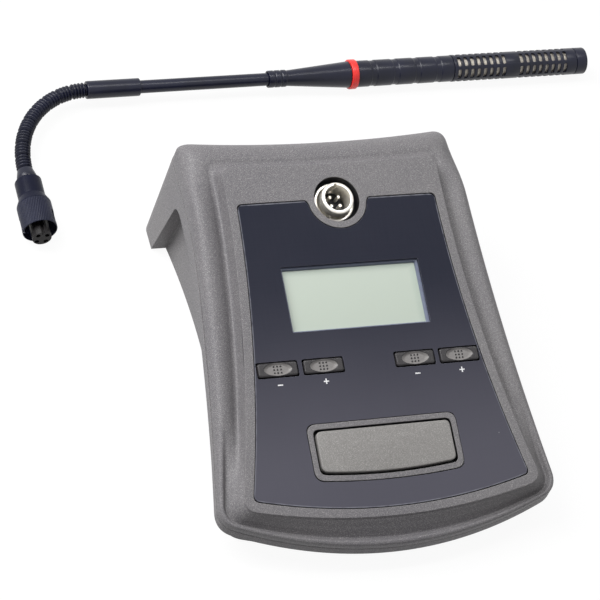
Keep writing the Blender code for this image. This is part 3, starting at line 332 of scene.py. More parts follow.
def sheetRim(u, v):    # 1 along the sheet's outer edge, where the light catches it
    share = downPanel(v)
    across = u.size() + v * panelSpread + share * (1 - share) * (-4 * panel["bows"][1])
    side = across.between(*[panel["rear"][0] - depth for depth in sheet["sideRim"]])
    bow = panel["bows"][0]
    tip = panel["front"][1] - bow
    start, full = sheet["endRim"]
    front = 1 - (v - u * u * (bow / panel["front"][0] ** 2)).between(tip + full, tip + start)
    return side.most(front).most(v.between(-start, -full))


def sheetFinish():
    made = Finish("panelSheet", Metallic=0.0, IOR=1.5, Specular_IOR_Level=0.1)
    u, v = facePlaces(made)[:2]
    brushing = made.noise(1, 3, 0.6, made.stretched(made.place(), (60, 1800, 1800)))
    cross = made.noise(1, 2, 0.5, made.stretched(made.place(), (1500, 50, 50)))
    cloud = made.noise(14, 3, 0.5).between(0.3, 0.7)
    # painted reflection: the sheet lightens towards its front
    low = downPanel(v).between(0.1, 1.0) ** 1.3
    color = made.blendColors(brushing * 0.05 + cloud * 0.06 + cross * 0.04 + low * 0.85,
                             sheet["dark"], sheet["light"])
    seeds = made.cells(70)
    dust = (1 - seeds.between(0.016, 0.028)) * made.noise(9, 1).between(0.52, 0.60)
    color = made.blendColors(dust * 0.6, color, sheet["dust"])
    # painted highlight: a light line along the sheet's edges, broken up by scratches
    edge = made.edges(0.0003).most(sheetRim(u, v))
    scratch = made.noise(260, 3, 0.6).between(0.30, 0.60)
    color = made.blendColors(edge * (0.25 + scratch * 0.6), color, sheet["rim"])
    made.shade(Base_Color=color, Roughness=0.34 + brushing * 0.10 + dust * 0.3,
               Normal=made.relief(brushing + cross * 0.4, 0.000010, 0.35,
                                  made.rounded(0.0002)))
    return made.material


def glassFinish():    # the display under its window: pale green, shaded by the rim
    made = Finish("displayGlass", Metallic=0.0, IOR=1.5, Coat_Weight=0.6, Coat_Roughness=0.05)
    u, v = facePlaces(made)[:2]
    top = v.between(window["rear"] - 0.0045, window["rear"] - 0.0005)
    right = u.between(window["half"] - 0.0050, window["half"] - 0.0008)
    shade = top.most(right * 0.8)
    cloud = made.noise(30, 2, 0.5)
    color = made.blendColors(shade * 0.55 + cloud * 0.08, window["glass"], window["glassShade"])
    pixels = (u * (math.pi / 0.00055)).sine() * (v * (math.pi / 0.00055)).sine()
    made.shade(Base_Color=color, Roughness=0.22 + cloud * 0.06,
               Normal=made.relief(pixels, 0.000004, 0.3))
    return made.material


# Metals of the socket and the plug
bright = {
    "plate": tone(240, 236, 228),
    "stain": tone(200, 192, 176),
    "tin": tone(190, 190, 192),
    "steel": tone(150, 150, 152),
    # the edges' tone, for wear and a painted highlight
    "wornAndLit": tone(240, 238, 232),
}


def metalFinish(name, color, stain, roughness, metal=1.0):
    made = Finish(name, Metallic=metal)
    cloud = made.noise(240, 4, 0.6).between(0.42, 0.70)
    lines = made.noise(1, 2, 0.5, made.stretched(made.place(), (400, 400, 5000)))
    edge = made.edges(0.0002)
    mixed = made.blendColors(cloud * 0.35, color, stain)
    # edges lightened: wear and a painted highlight
    mixed = made.blendColors(edge * 0.4, mixed, bright["wornAndLit"])
    made.shade(Base_Color=mixed, Roughness=roughness + cloud * 0.10 + lines * 0.06,
               Normal=made.relief(lines, 0.000006, 0.25, made.rounded(0.00015)))
    return made.material


# Black satin lacquer of the microphone, faintly blue, lighter on its edges: polish, and a painted highlight
satin = {
    "dark": tone(12, 15, 32),
    "light": tone(20, 23, 44),
    # the edges' tone, for polish and a painted highlight
    "wornAndLit": tone(84, 87, 106),
    "grainScale": 3200.0,
}


def satinFinish(name, roughness=0.26, knurl=None, gloss=0.38):
    made = Finish(name, Metallic=0.0, IOR=1.5, Specular_IOR_Level=gloss)
    cloud = made.noise(60, 3, 0.5).between(0.35, 0.65)
    grain = made.noise(satin["grainScale"], 2, 0.5)
    edge = made.edges(0.00025)
    color = made.blendColors(cloud * 0.7 + grain * 0.3, satin["dark"], satin["light"])
    rub = made.noise(420, 3, 0.6).between(0.48, 0.62)
    # painted highlight with wear: the edges lightened, broken up by rubbing
    color = made.blendColors(edge * (0.25 + rub * 0.5), color, satin["wornAndLit"])
    height, depth = grain, 0.000010
    if knurl:
        ridges = knurlRidges(made, knurl)
        # painted highlight: the knurl's ridges lightened
        color = made.blendColors(ridges * 0.3, color, satin["wornAndLit"])
        height, depth = ridges + grain * 0.1, 0.00022
    made.shade(Base_Color=color, Roughness=roughness + grain * 0.10 - edge * 0.05,
               Normal=made.relief(height, depth, 0.6, made.rounded(0.00015)))
    return made.material


def knurlRidges(made, knurl):    # fine slanted lines round the front of the collar
    x, y, z = made.split(made.place())
    turn = (z - knurl["axis"].z).angleTo(x - knurl["axis"].x)
    along = y - knurl["axis"].y
    wave = (turn * knurl["count"] + along * (2 * math.pi / knurl["lead"])).sine()
    kept = 1 - along.between(knurl["end"] - 0.0006, knurl["end"])
    return (wave * 0.5 + 0.5) * kept


def ringFinish():    # red plastic that guides light, glossy, with a faint painted glow, and lighter at its edges as a painted highlight
    made = Finish("ringRed", Metallic=0.0, IOR=1.49, Emission_Strength=0.10)
    cloud = made.noise(300, 3, 0.5).between(0.3, 0.7)
    edge = made.edges(0.0004)
    color = made.blendColors(cloud, tone(222, 44, 44), tone(238, 60, 54))
    color = made.blendColors(edge * 0.4, color, tone(248, 110, 98))
    made.shade(Base_Color=color, Emission_Color=color, Roughness=0.30 + cloud * 0.08,
               Normal=made.relief(cloud, 0.00002, 0.2, made.rounded(0.0003)))
    return made.material


def plasticFinish(name, dark, light, roughness, grainScale, depth):
    made = Finish(name, Metallic=0.0, IOR=1.46, Specular_IOR_Level=0.25)
    cloud = made.noise(90, 3, 0.5).between(0.35, 0.65)
    grain = made.noise(grainScale, 2, 0.6)
    edge = made.edges(0.0003)
    color = made.blendColors(cloud * 0.6 + grain * 0.4, dark, light)
    # edges lightened: wear and a painted highlight
    wornAndLit = [share * 1.8 + 0.02 for share in light[:3]] + [1]
    color = made.blendColors(edge * 0.35, color, wornAndLit)
    made.shade(Base_Color=color, Roughness=roughness + grain * 0.12 - edge * 0.05,
               Normal=made.relief(grain, depth, 0.5, made.rounded(0.0002)))
    return made.material


def boardFinish():    # green board with faint copper runs under the lacquer
    made = Finish("boardGreen", Metallic=0.0, IOR=1.5)
    runs = made.cells(420).between(0.10, 0.16)
    cloud = made.noise(40, 3, 0.5)
    color = made.blendColors(runs * 0.7 + cloud * 0.2, tone(60, 130, 70), tone(20, 92, 48))
    made.shade(Base_Color=color, Roughness=0.38 + cloud * 0.15,
               Normal=made.relief(runs, 0.00003, 0.4, made.rounded(0.0002)))
    return made.material


weave = {
    "count": 46,
    "pitch": 0.00075,
    "wire": tone(232, 224, 212),
    "hole": tone(70, 66, 62),
    "stain": tone(120, 112, 100),
}


def meshFinish():    # woven wire: bright wires over dark holes
    made = Finish("wireMesh")
    x, y, z = made.split(made.place())
    middle = headMatrix.translation
    across, along = [(x - middle.x) * side.x + (y - middle.y) * side.y
                     for side in headMatrix.to_3x3().col[:2]]
    turn = (z - middle.z).angleTo(across)
    warp = (turn * weave["count"]).sine()
    weft = (along * (2 * math.pi / weave["pitch"])).sine()
    wires = warp.size().most(weft.size())
    hole = 1 - wires.between(0.45, 0.75)
    cloud = made.noise(500, 2, 0.5)
    color = made.blendColors(hole, weave["wire"], weave["hole"])
    color = made.blendColors(cloud * 0.3, color, weave["stain"])
    made.shade(Base_Color=color, Roughness=0.34 + hole * 0.4 + cloud * 0.1,
               Metallic=0.85 - hole * 0.8,
               Normal=made.relief(warp * weft, 0.00012, 0.7))
    return made.material


# The microphone's line: the plug's axis, the bent neck, and the head's axis
plugPlace = Vector(joints["collar_spin"]["pos_m"])
headPlace = Vector(joints["neck_turn_7"]["pos_m"])
neck = {
    "start": 0.0370,             # from the collar's front
    "length": 0.0723,
    "bend": math.radians(88.9),
    "evenShare": 0.7,
    "links": 9,
    "gap": 0.0009,
    "ribs": 4,
    "crest": 0.00398,
    "valley": 0.00310,
    "ball": 0.0029,
    "cup": 0.00305,
    "cupDepth": 0.0026,
    "sides": 40,
    "ribSteps": 12,
}
neckStart = plugPlace + Vector((0, neck["start"], 0))
headMatrix = Matrix.Translation(headPlace) @ Matrix.Rotation(-neck["bend"], 4, "Z")
plugMatrix = Matrix.Translation(plugPlace)


def neckHeading(place):
    share = min(1.0, max(0.0, place / neck["length"]))
    return neck["bend"] * (neck["evenShare"] * share + (1 - neck["evenShare"]) * share ** 2)


def neckLine(steps=800):
    step = neck["length"] / steps
    points = [Vector((0, 0, 0))]
    for index in range(steps):
        heading = neckHeading((index + 0.5) * step)
        points.append(points[-1] + Vector((math.sin(heading), math.cos(heading), 0)) * step)
    return points


neckPoints = neckLine()


def neckMatrix(place):    # Y runs along the neck
    inside = min(neck["length"], max(0.0, place))
    exact = inside / neck["length"] * (len(neckPoints) - 1)
    index = min(len(neckPoints) - 2, int(exact))
    point = neckPoints[index].lerp(neckPoints[index + 1], exact - index)
    heading = neckHeading(inside)
    point = point + Vector((math.sin(heading), math.cos(heading), 0)) * (place - inside)
    return Matrix.Translation(neckStart + point) @ Matrix.Rotation(-heading, 4, "Z")


# Mesh making
def newPiece(name, body, material, mesh, replaces=()):
    piece = bpy.data.objects.new(name, mesh)
    studio.objects.link(piece)
    mesh.materials.clear()
    mesh.materials.append(material)
    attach(piece, body)
    if replaces:
        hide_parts(*replaces)
    return piece


def meshFrom(name, shape, sharpAngle=40.0):
    bmesh.ops.recalc_face_normals(shape, faces=shape.faces)
    mesh = bpy.data.meshes.new(name)
    shape.to_mesh(mesh)
    shape.free()
    mesh.shade_smooth()
    mesh.set_sharp_from_angle(angle=math.radians(sharpAngle))
    return mesh


def joinRings(shape, low, high):    # a band of faces between two closed rings
    count = len(low)
    for index in range(count):
        after = (index + 1) % count
        shape.faces.new((low[index], low[after], high[after], high[index]))


def sweptMesh(name, profile, matrixAt, sides, sharpAngle=40.0, closed=False):
    # Rings of (place, radius) along a line; a radius of 0 closes an end in a point
    shape = bmesh.new()
    rings = []
    turns = [2 * math.pi * side / sides for side in range(sides)]
    for place, radius in profile:
        matrix = matrixAt(place)
        if radius == 0:
            rings.append([shape.verts.new(matrix @ Vector((0, 0, 0)))])
            continue
        rings.append([shape.verts.new(matrix @ Vector((radius * math.cos(turn), 0,
                                                       -radius * math.sin(turn))))
                      for turn in turns])
    pairs = list(zip(rings, rings[1:]))
    if closed:
        pairs.append((rings[-1], rings[0]))
    for low, high in pairs:
        if len(low) == len(high):
            joinRings(shape, low, high)
            continue
        for index in range(sides):
            after = (index + 1) % sides
            if len(low) == 1:
                shape.faces.new((low[0], high[after], high[index]))
            else:
                shape.faces.new((low[index], low[after], high[0]))
    return meshFrom(name, shape, sharpAngle)


def alongHead(place):
    return headMatrix @ Matrix.Translation((0, place, 0))


def alongPlug(place):
    return plugMatrix @ Matrix.Translation((0, place, 0))


def curved(first, corner, last, share):    # a point of the curve that rounds a corner
    return first * (1 - share) ** 2 + corner * 2 * share * (1 - share) + last * share ** 2


def softEdges(profile, radius, steps=3):
    # Rounds each corner of a closed profile by up to this radius
    count = len(profile)
    made = []
    for index in range(count):
        corner = Vector(profile[index])
        before = Vector(profile[index - 1]) - corner
        after = Vector(profile[(index + 1) % count]) - corner
        if corner.y == 0:
            made.append(tuple(corner))
            continue
        cut = min(radius, before.length / 2.2, after.length / 2.2)
        first = corner + before.normalized() * cut
        last = corner + after.normalized() * cut
        made += [tuple(curved(first, corner, last, step / steps)) for step in range(steps + 1)]
    return made


def turnedPiece(name, body, material, profile, matrixAt, replaces, sides=96,
                radius=0.00025, sharpAngle=35.0):
    mesh = sweptMesh(name, softEdges(profile, radius), matrixAt, sides, sharpAngle, True)
    return newPiece(name, body, material, mesh, replaces)


# Gooseneck: each link is a run of wound ribs from hinge to hinge
def linkProfile(number):
    linkLength = (neck["length"] - neck["gap"] * (neck["links"] + 1)) / neck["links"]
    pitch = linkLength + neck["gap"]
    hinge = number * pitch + neck["gap"] / 2
    start = hinge + neck["gap"] / 2
    end = start + linkLength
    steps = neck["ribs"] * neck["ribSteps"]
    ribs = []
    for step in range(steps + 1):
        swell = 0.5 - 0.5 * math.cos(2 * math.pi * step / neck["ribSteps"])
        ribs.append((start + linkLength * step / steps,
                     neck["valley"] + (neck["crest"] - neck["valley"]) * swell ** 0.8))
    cup = [(start + neck["cupDepth"], 0), (start + neck["cupDepth"], neck["cup"]),
           (start, neck["cup"])]
    return cup + ribs + ballProfile(end, end + neck["gap"] / 2)


def ballProfile(root, middle, steps=10):
    first = math.asin((root - middle) / neck["ball"])
    turns = [first + (math.pi / 2 - first) * step / steps for step in range(steps)]
    points = [(middle + neck["ball"] * math.sin(turn), neck["ball"] * math.cos(turn))
              for turn in turns]
    return points + [(middle + neck["ball"], 0)]


def makeNeck(material):
    for number in range(1, neck["links"] + 1):
        name = "ribbed_link_{}".format(number)
        mesh = sweptMesh(name, linkProfile(number - 1), neckMatrix, neck["sides"], 50)
        newPiece(name, "neck_{}".format(number), material, mesh,
                 ["neck_link_{}".format(number)])


# Plug: slotted locking collar with fine slanted lines, and the cone behind it
collar = {
    "length": 0.0300, "radius": 0.0086, "rearRadius": 0.0067,
    "shoulderStart": 0.0152, "shoulderEnd": 0.0195,
    "bore": 0.0081, "boreDepth": 0.0130, "rearBore": 0.0060,
    "slotStart": 0.0022, "slotLength": 0.0070, "slotWidth": 0.0050, "slotTurn": -24.0,
    "knurlEnd": 0.0150, "knurlCount": 64, "knurlLead": 0.0075,
}
ferrule = {
    "low": 0.0312, "coneStart": 0.03295, "high": 0.0370, "radius": 0.0050, "endRadius": 0.0040,
    "spigot": 0.0060, "spigotRadius": 0.0036,
}


def boxShape(size, matrix):
    shape = bmesh.new()
    bmesh.ops.create_cube(shape, size=1)
    bmesh.ops.scale(shape, vec=size, verts=shape.verts)
    bmesh.ops.bevel(shape, geom=shape.edges[:], offset=min(size) / 8, segments=3,
                    affect="EDGES")
    bmesh.ops.transform(shape, matrix=matrix, verts=shape.verts)
    return shape


def cutPiece(piece, toolMesh, operation="DIFFERENCE"):
    tool = bpy.data.objects.new("tool", toolMesh)
    studio.objects.link(tool)
    change = piece.modifiers.new("cut", "BOOLEAN")
    change.object = tool
    change.operation = operation
    change.solver = "EXACT"
    keepModifiers(piece)
    bpy.data.objects.remove(tool, do_unlink=True)


def keepModifiers(piece):
    bpy.context.view_layer.update()
    evaluated = piece.evaluated_get(bpy.context.evaluated_depsgraph_get())
    mesh = bpy.data.meshes.new_from_object(evaluated)
    piece.modifiers.clear()
    piece.data = mesh


def bevelPiece(piece, width, angle=40.0):
    change = piece.modifiers.new("soft", "BEVEL")
    change.width = width
    change.segments = 2
    change.limit_method = "ANGLE"
    change.angle_limit = math.radians(angle)
    keepModifiers(piece)
    finishEdges(piece, 50)


def finishEdges(piece, angle):    # smooth shading, but for edges sharper than this
    piece.data.shade_smooth()
    piece.data.set_sharp_from_angle(angle=math.radians(angle))


def makeCollar():
    values = collar
    profile = [(0, values["radius"]), (values["shoulderStart"], values["radius"]),
               (values["shoulderEnd"], values["rearRadius"]),
               (values["length"], values["rearRadius"]), (values["length"], values["rearBore"]),
               (values["boreDepth"], values["rearBore"]), (values["boreDepth"], values["bore"]),
               (0, values["bore"])]
    knurl = {"axis": plugPlace, "count": values["knurlCount"], "lead": values["knurlLead"],
             "end": values["knurlEnd"]}
    material = satinFinish("collarSatin", 0.34, knurl, 0.12)
    piece = turnedPiece("locking_collar", "plug_collar", material, profile, alongPlug,
                        ["plug_collar"], radius=0.0004)
    middle = values["slotStart"] + values["slotLength"] / 2
    place = alongPlug(middle) @ Matrix.Rotation(math.radians(values["slotTurn"]), 4, "Y")
    size = (values["radius"] * 2.4, values["slotLength"], values["slotWidth"])
    cutPiece(piece, meshFrom("slots", boxShape(size, place)))
    finishEdges(piece, 40)


def makeFerrule(material):
    values = ferrule
    first, last = (values["low"] - values["spigot"], 0), (values["high"], values["endRadius"])
    body = [first, (first[0], values["spigotRadius"]), (values["low"], values["spigotRadius"]),
            (values["low"], values["radius"]), (values["coneStart"], values["radius"]), last]
    body = [first] + softEdges(body, 0.0003)[4:-4] + [last]    # both ends stay sharp
    profile = body + ballProfile(values["high"], values["high"] + neck["gap"] / 2)
    mesh = sweptMesh("neck_cone", profile, alongPlug, 64, 40)
    newPiece("neck_cone", "plug", material, mesh, ["neck_ferrule"])


# Stem and head, turned along one line; places are measured from the last hinge
stem = {
    "start": 0.00045, "sleeveEnd": 0.02875, "sleeveRadius": 0.0046,
    "tubeEnd": 0.09905, "tubeRadius": 0.00335, "tubeHeld": 0.0140, "tubeGrip": 0.0100,
    "ringEnd": 0.10885, "ringRadius": 0.0045, "grooveShares": (0.36, 0.72),
    "grooveWidth": 0.0011, "grooveDepth": 0.0004,
    "taperEnd": 0.14425, "taperRadius": 0.00405, "bodyRadius": 0.0070, "spigotRadius": 0.0057,
    "spigot": 0.0070, "bore": 0.0020, "play": 0.0003,
}
head = {
    "ringStart": 0.14450, "ringEnd": 0.14810, "ringRadius": 0.0079,
    "bodyStart": 0.14840, "bodyEnd": 0.20345, "bore": 0.0060,
    "grooveShares": (0.165, 0.395, 0.62, 0.845), "grooveWidth": 0.0034, "grooveDepth": 0.0003,
    "slottedStart": 0.20375, "slottedEnd": 0.27655, "radius": 0.0072, "wall": 0.0009,
    "groupStarts": (0.00195, 0.03867), "slotsPerGroup": 8, "slotPitch": 0.00376,
    "slotOpen": 0.0021, "slotRound": 46.0, "slotRadius": 0.0007, "rows": 6, "firstRow": 40.5,
    "slotFrom": 0.0050, "slotTo": 0.0085,
    "screenStart": 0.20465, "screenEnd": 0.27310, "screenRadius": 0.0057, "screenThick": 0.0004,
    "capStart": 0.27685, "capEnd": 0.28295, "capSpigot": 0.0030, "capSpigotRadius": 0.0056,
    "capRim": 0.0011, "capRimFoot": 0.0016, "capDish": 0.0005,
}


def grooves(start, end, shares, width, depth, radius):
    points = []
    for share in shares:
        middle = start + (end - start) * share
        points += [(middle - width / 2, radius), (middle - width / 2 + depth, radius - depth),
                   (middle + width / 2 - depth, radius - depth), (middle + width / 2, radius)]
    return points


def makeStem(material):
    bore = stem["tubeRadius"] + stem["play"]
    held = stem["sleeveEnd"] - stem["tubeHeld"]
    grip = stem["tubeEnd"] + stem["tubeGrip"]
    sleeve = [(stem["start"], stem["sleeveRadius"]), (stem["sleeveEnd"], stem["sleeveRadius"]),
              (stem["sleeveEnd"], bore), (held, bore), (held, neck["cup"]),
              (stem["start"], neck["cup"])]
    turnedPiece("stem_sleeve_tube", "head", material, sleeve, alongHead, ["stem_sleeve"],
                radius=0.0006)
    tube = [(held, stem["tubeRadius"]), (grip, stem["tubeRadius"]), (grip, stem["bore"]),
            (held, stem["bore"])]
    turnedPiece("stem_thin_tube", "head", material, tube, alongHead, ["stem_tube"],
                64)
    root = grooves(stem["tubeEnd"], stem["ringEnd"], stem["grooveShares"], stem["grooveWidth"],
                   stem["grooveDepth"], stem["ringRadius"])
    end = head["ringEnd"] + stem["spigot"]
    taper = [(stem["tubeEnd"], stem["ringRadius"]), *root,
             (stem["ringEnd"], stem["ringRadius"]), (stem["ringEnd"], stem["taperRadius"]),
             (stem["taperEnd"], stem["bodyRadius"]), (stem["taperEnd"], stem["spigotRadius"]),
             (end, stem["spigotRadius"]), (end, stem["bore"]),
             (grip + stem["play"], stem["bore"]), (grip + stem["play"], bore),
             (stem["tubeEnd"], bore)]
    turnedPiece("stem_taper", "head", material, taper, alongHead, ["head_taper"],
                radius=0.0003)


def makeHead(material, red):
    ring = [(head["ringStart"], head["ringRadius"]), (head["ringEnd"], head["ringRadius"]),
            (head["ringEnd"], head["bore"]), (head["ringStart"], head["bore"])]
    turnedPiece("red_light_ring", "head", red, ring, alongHead, ["light_ring"],
                radius=0.0004)
    side = grooves(head["bodyStart"], head["bodyEnd"], head["grooveShares"],
                   head["grooveWidth"], head["grooveDepth"], stem["bodyRadius"])
    body = [(head["bodyStart"], stem["bodyRadius"]), *side,
            (head["bodyEnd"], stem["bodyRadius"]), (head["bodyEnd"], head["bore"]),
            (head["bodyStart"], head["bore"])]
    turnedPiece("grooved_body", "head", material, body, alongHead, ["head_body"],
                radius=0.0002, sharpAngle=30)
    first, last = head["capStart"] - head["capSpigot"], head["capEnd"] - head["capDish"]
    cap = [(first, 0), (first, head["capSpigotRadius"]),
           (head["capStart"], head["capSpigotRadius"]), (head["capStart"], head["radius"]),
           (head["capEnd"], head["radius"]), (head["capEnd"], head["radius"] - head["capRim"]),
           (last, head["radius"] - head["capRimFoot"]), (last, 0)]
    mesh = sweptMesh("closing_cap", softEdges(cap, 0.0004), alongHead, 96, 35)
    newPiece("closing_cap", "head", material, mesh, ["end_cap"])


def slotRing(middle, turn, radius):
    # One slot's outline, rounded, wrapped on the tube's round
    halfRound = math.radians(head["slotRound"]) / 2 * head["radius"]
    halfAlong = head["slotOpen"] / 2
    corner = head["slotRadius"]
    points = []
    for cornerX, cornerY, first in ((1, 1, 0), (-1, 1, 90), (-1, -1, 180), (1, -1, 270)):
        for step in range(5):
            angle = math.radians(first + 90 * step / 4)
            points.append((cornerX * (halfRound - corner) + corner * math.cos(angle),
                           cornerY * (halfAlong - corner) + corner * math.sin(angle)))
        if cornerX == cornerY:
            run = (halfRound - corner) * -cornerX
            points += [(-run + 2 * run * step / 8, cornerY * halfAlong) for step in range(1, 8)]
    wrapped = []
    for around, along in points:
        angle = turn + around / head["radius"]
        spot = Vector((radius * math.cos(angle), 0, -radius * math.sin(angle)))
        wrapped.append(alongHead(middle + along) @ spot)
    return wrapped


def slotTools():
    shape = bmesh.new()
    for groupStart in head["groupStarts"]:
        for number in range(head["slotsPerGroup"]):
            middle = (head["slottedStart"] + groupStart + number * head["slotPitch"]
                      + head["slotOpen"] / 2)
            for row in range(head["rows"]):
                turn = math.radians(head["firstRow"] + row * 360 / head["rows"])
                inner, outer = [[shape.verts.new(point) for point in slotRing(middle, turn, radius)]
                                for radius in (head["slotFrom"], head["slotTo"])]
                shape.faces.new(inner)
                shape.faces.new(outer[::-1])
                count = len(inner)
                for index in range(count):
                    after = (index + 1) % count
                    shape.faces.new((inner[index], outer[index], outer[after], inner[after]))
    return meshFrom("slots", shape)


def makeSlottedTube(material, woven):
    inner = head["radius"] - head["wall"]
    tube = [(head["slottedStart"], head["radius"]), (head["slottedEnd"], head["radius"]),
            (head["slottedEnd"], inner), (head["slottedStart"], inner)]
    piece = turnedPiece("slotted_sleeve", "head", material, tube, alongHead, ["slotted_tube"],
                        120)
    cutPiece(piece, slotTools())
    bevelPiece(piece, 0.00014)
    inner = head["screenRadius"] - head["screenThick"]
    screen = [(head["screenStart"], head["screenRadius"]),
              (head["screenEnd"], head["screenRadius"]),
              (head["screenEnd"], inner), (head["screenStart"], inner)]
    turnedPiece("woven_screen", "head", woven, screen, alongHead, ["mesh_screen"],
                96, 0.0001)


# Outlines: closed lists of points, counter-clockwise, with bowed edges and round corners
def roundedOutline(corners, bows, radii, edgeSteps, turnSteps=10):
    count = len(corners)
    edges = []
    for index in range(count):
        start = Vector(corners[index])
        run = Vector(corners[(index + 1) % count]) - start
        outward = Vector((run.y, -run.x)).normalized()
        first = radii[index] / run.length
        last = 1 - radii[(index + 1) % count] / run.length
        points = []
        for step in range(edgeSteps[index] + 1):
            share = first + (last - first) * step / edgeSteps[index]
            points.append(start + run * share + outward * 4 * share * (1 - share) * bows[index])
        ends = [run + outward * 4 * (1 - 2 * share) * bows[index] for share in (first, last)]
        edges.append((points, ends))
    made = []
    for index in range(count):
        points, ends = edges[index]
        following, nextEnds = edges[(index + 1) % count]
        made += points
        corner = crossing(points[-1], ends[1], following[0], nextEnds[0])
        made += [curved(points[-1], corner, following[0], step / turnSteps)
                 for step in range(1, turnSteps)]
    return made


def crossing(start, heading, other, otherHeading):
    across = heading.x * otherHeading.y - heading.y * otherHeading.x
    between = other - start
    return start + heading * ((between.x * otherHeading.y - between.y * otherHeading.x) / across)


def evenOutline(front, rear, bows, radii, edgeSteps, turnSteps=10):
    # front and rear are (half width, place along)
    corners = [(-front[0], front[1]), (front[0], front[1]), (rear[0], rear[1]),
               (-rear[0], rear[1])]
    return roundedOutline(corners, (bows[0], bows[1], bows[2], bows[1]),
                          (radii[0], radii[0], radii[1], radii[1]), edgeSteps, turnSteps)


def loftMesh(name, rings, sharpAngle=30.0):
    shape = bmesh.new()
    rows = [[shape.verts.new(point) for point in ring] for ring in rings]
    for low, high in zip(rows, rows[1:]):
        joinRings(shape, low, high)
    shape.faces.new(rows[0][::-1])
    shape.faces.new(rows[-1])
    return meshFrom(name, shape, sharpAngle)


def deskRing(points, height):
    return [deskOrigin + Vector((point.x, point.y, height)) for point in points]


def faceRing(points, height):
    return [faceMatrix @ Vector((point[0], point[1], height)) for point in points]


def facePlate(name, points, low, high):
    return loftMesh(name, [faceRing(points, low), faceRing(points, high)])


# Top cover: plateau, valley and rim
cover = {
    "rimFront": (0.0845, -0.1415), "rimRear": (0.0700, 0.0440),
    "rimBows": (0.018, -0.0035, -0.0035), "rimRadii": (0.008, 0.007),
    "plateauFront": (0.074, -0.1465), "plateauRear": (0.0548, 0.0195),
    "plateauBows": (0.0095, -0.0053, -0.001), "plateauRadii": (0.007, 0.005),
    "edgeSteps": (64, 40, 40, 40),
    "wall": 0.0026,
    "seamDrop": 0.0092, "seamLevel": 0.0560, "seamEase": 0.002, "seamGap": 0.0004,
    "rearDrop": 0.0100, "rearStart": 0.004,
    "places": (0.0, 0.05, 0.13, 0.24, 0.36, 0.50, 0.64, 0.76, 0.88, 1.0),
    "sideFall": (1.0, 0.71, 0.52, 0.42, 0.40, 0.45, 0.56, 0.68, 0.64, 0.08),
    "frontFall": (1.0, 0.70, 0.60, 0.62, 0.82, 0.72, 0.55, 0.40, 0.22, 0.08),
    "blendStart": 0.62, "blendEnd": 0.95,
    "stations": 44, "stationPower": 1.15, "lastStation": 0.997,
    "edge": 0.00025, "edgeShares": (0.35, 0.7, 0.9, 1.0),
    "insidePlaces": (0.16, 0.36, 0.52, 0.64, 0.78),
    "recess": 0.0015, "gap": 0.0004, "talkGap": 0.0006,
    "notchRadius": 0.0150, "notchShoulder": 0.0178, "notchRise": 0.0003, "notchTurn": 14.0,
    "wellRadius": 0.0114, "wellDepth": 0.0072, "wellOuter": 0.0136, "wellFloor": 0.002,
    "wellHole": 0.0083,
    "surround": 0.0031, "over": 0.003,
}


def faceHeight(y, depth):    # height above the table of a place this deep below the face
    return face["rise"] + y * math.tan(faceTurn) - depth / math.cos(faceTurn)


def seamHeight(y):    # the seam follows the slope, and eases into a level at the rear
    ramp = faceHeight(y, cover["seamDrop"])
    level = cover["seamLevel"]
    return (ramp + level) / 2 - math.hypot((ramp - level) / 2, cover["seamEase"])


def insetOutline(front, rear, bows, radii, inset):
    return evenOutline((front[0] - inset, front[1] + inset), (rear[0] - inset, rear[1] - inset),
                       bows, [radius - inset / 2 for radius in radii], cover["edgeSteps"])


def rimOutline(inset=0.0):
    return insetOutline(cover["rimFront"], cover["rimRear"], cover["rimBows"],
                        cover["rimRadii"], inset)


def plateauOutline(inset=0.0):
    return insetOutline(cover["plateauFront"], cover["plateauRear"], cover["plateauBows"],
                        cover["plateauRadii"], inset)


def smoothStep(value, start, end):
    share = min(1.0, max(0.0, (value - start) / (end - start)))
    return share * share * (3 - 2 * share)


def curveThrough(place, places, values):    # a smooth line through the stations
    index = max(spot for spot in range(len(places) - 1) if places[spot] <= place)
    slopes = []
    for spot in (index, index + 1):
        low, high = max(0, spot - 1), min(len(places) - 1, spot + 1)
        slopes.append((values[high] - values[low]) / (places[high] - places[low]))
    width = places[index + 1] - places[index]
    share = (place - places[index]) / width
    return ((2 * share ** 3 - 3 * share ** 2 + 1) * values[index]
            + (share ** 3 - 2 * share ** 2 + share) * width * slopes[0]
            + (3 * share ** 2 - 2 * share ** 3) * values[index + 1]
            + (share ** 3 - share ** 2) * width * slopes[1])


def coverFall(place, y):
    front = smoothStep(y / cover["rimFront"][1], cover["blendStart"], cover["blendEnd"])
    side = curveThrough(place, cover["places"], cover["sideFall"])
    return side + (curveThrough(place, cover["places"], cover["frontFall"]) - side) * front


def coverRing(rim, plateau, place, sink=0.0):
    toFace = faceMatrix.inverted() @ deskMatrix
    ring = []
    for outer, inner in zip(rim, plateau):
        drop = cover["rearDrop"] * smoothStep(outer.y, cover["rearStart"], cover["rimRear"][1])
        low = faceHeight(outer.y, cover["seamDrop"] + drop)
        base = toFace @ Vector((outer.x, outer.y, low))
        flat = Vector((base.x, base.y)).lerp(inner, place)
        depth = -cover["seamDrop"] * coverFall(place, outer.y) - drop * (1 - place) ** 1.5 - sink
        ring.append(faceMatrix @ Vector((flat.x, flat.y, depth)))
    return ring


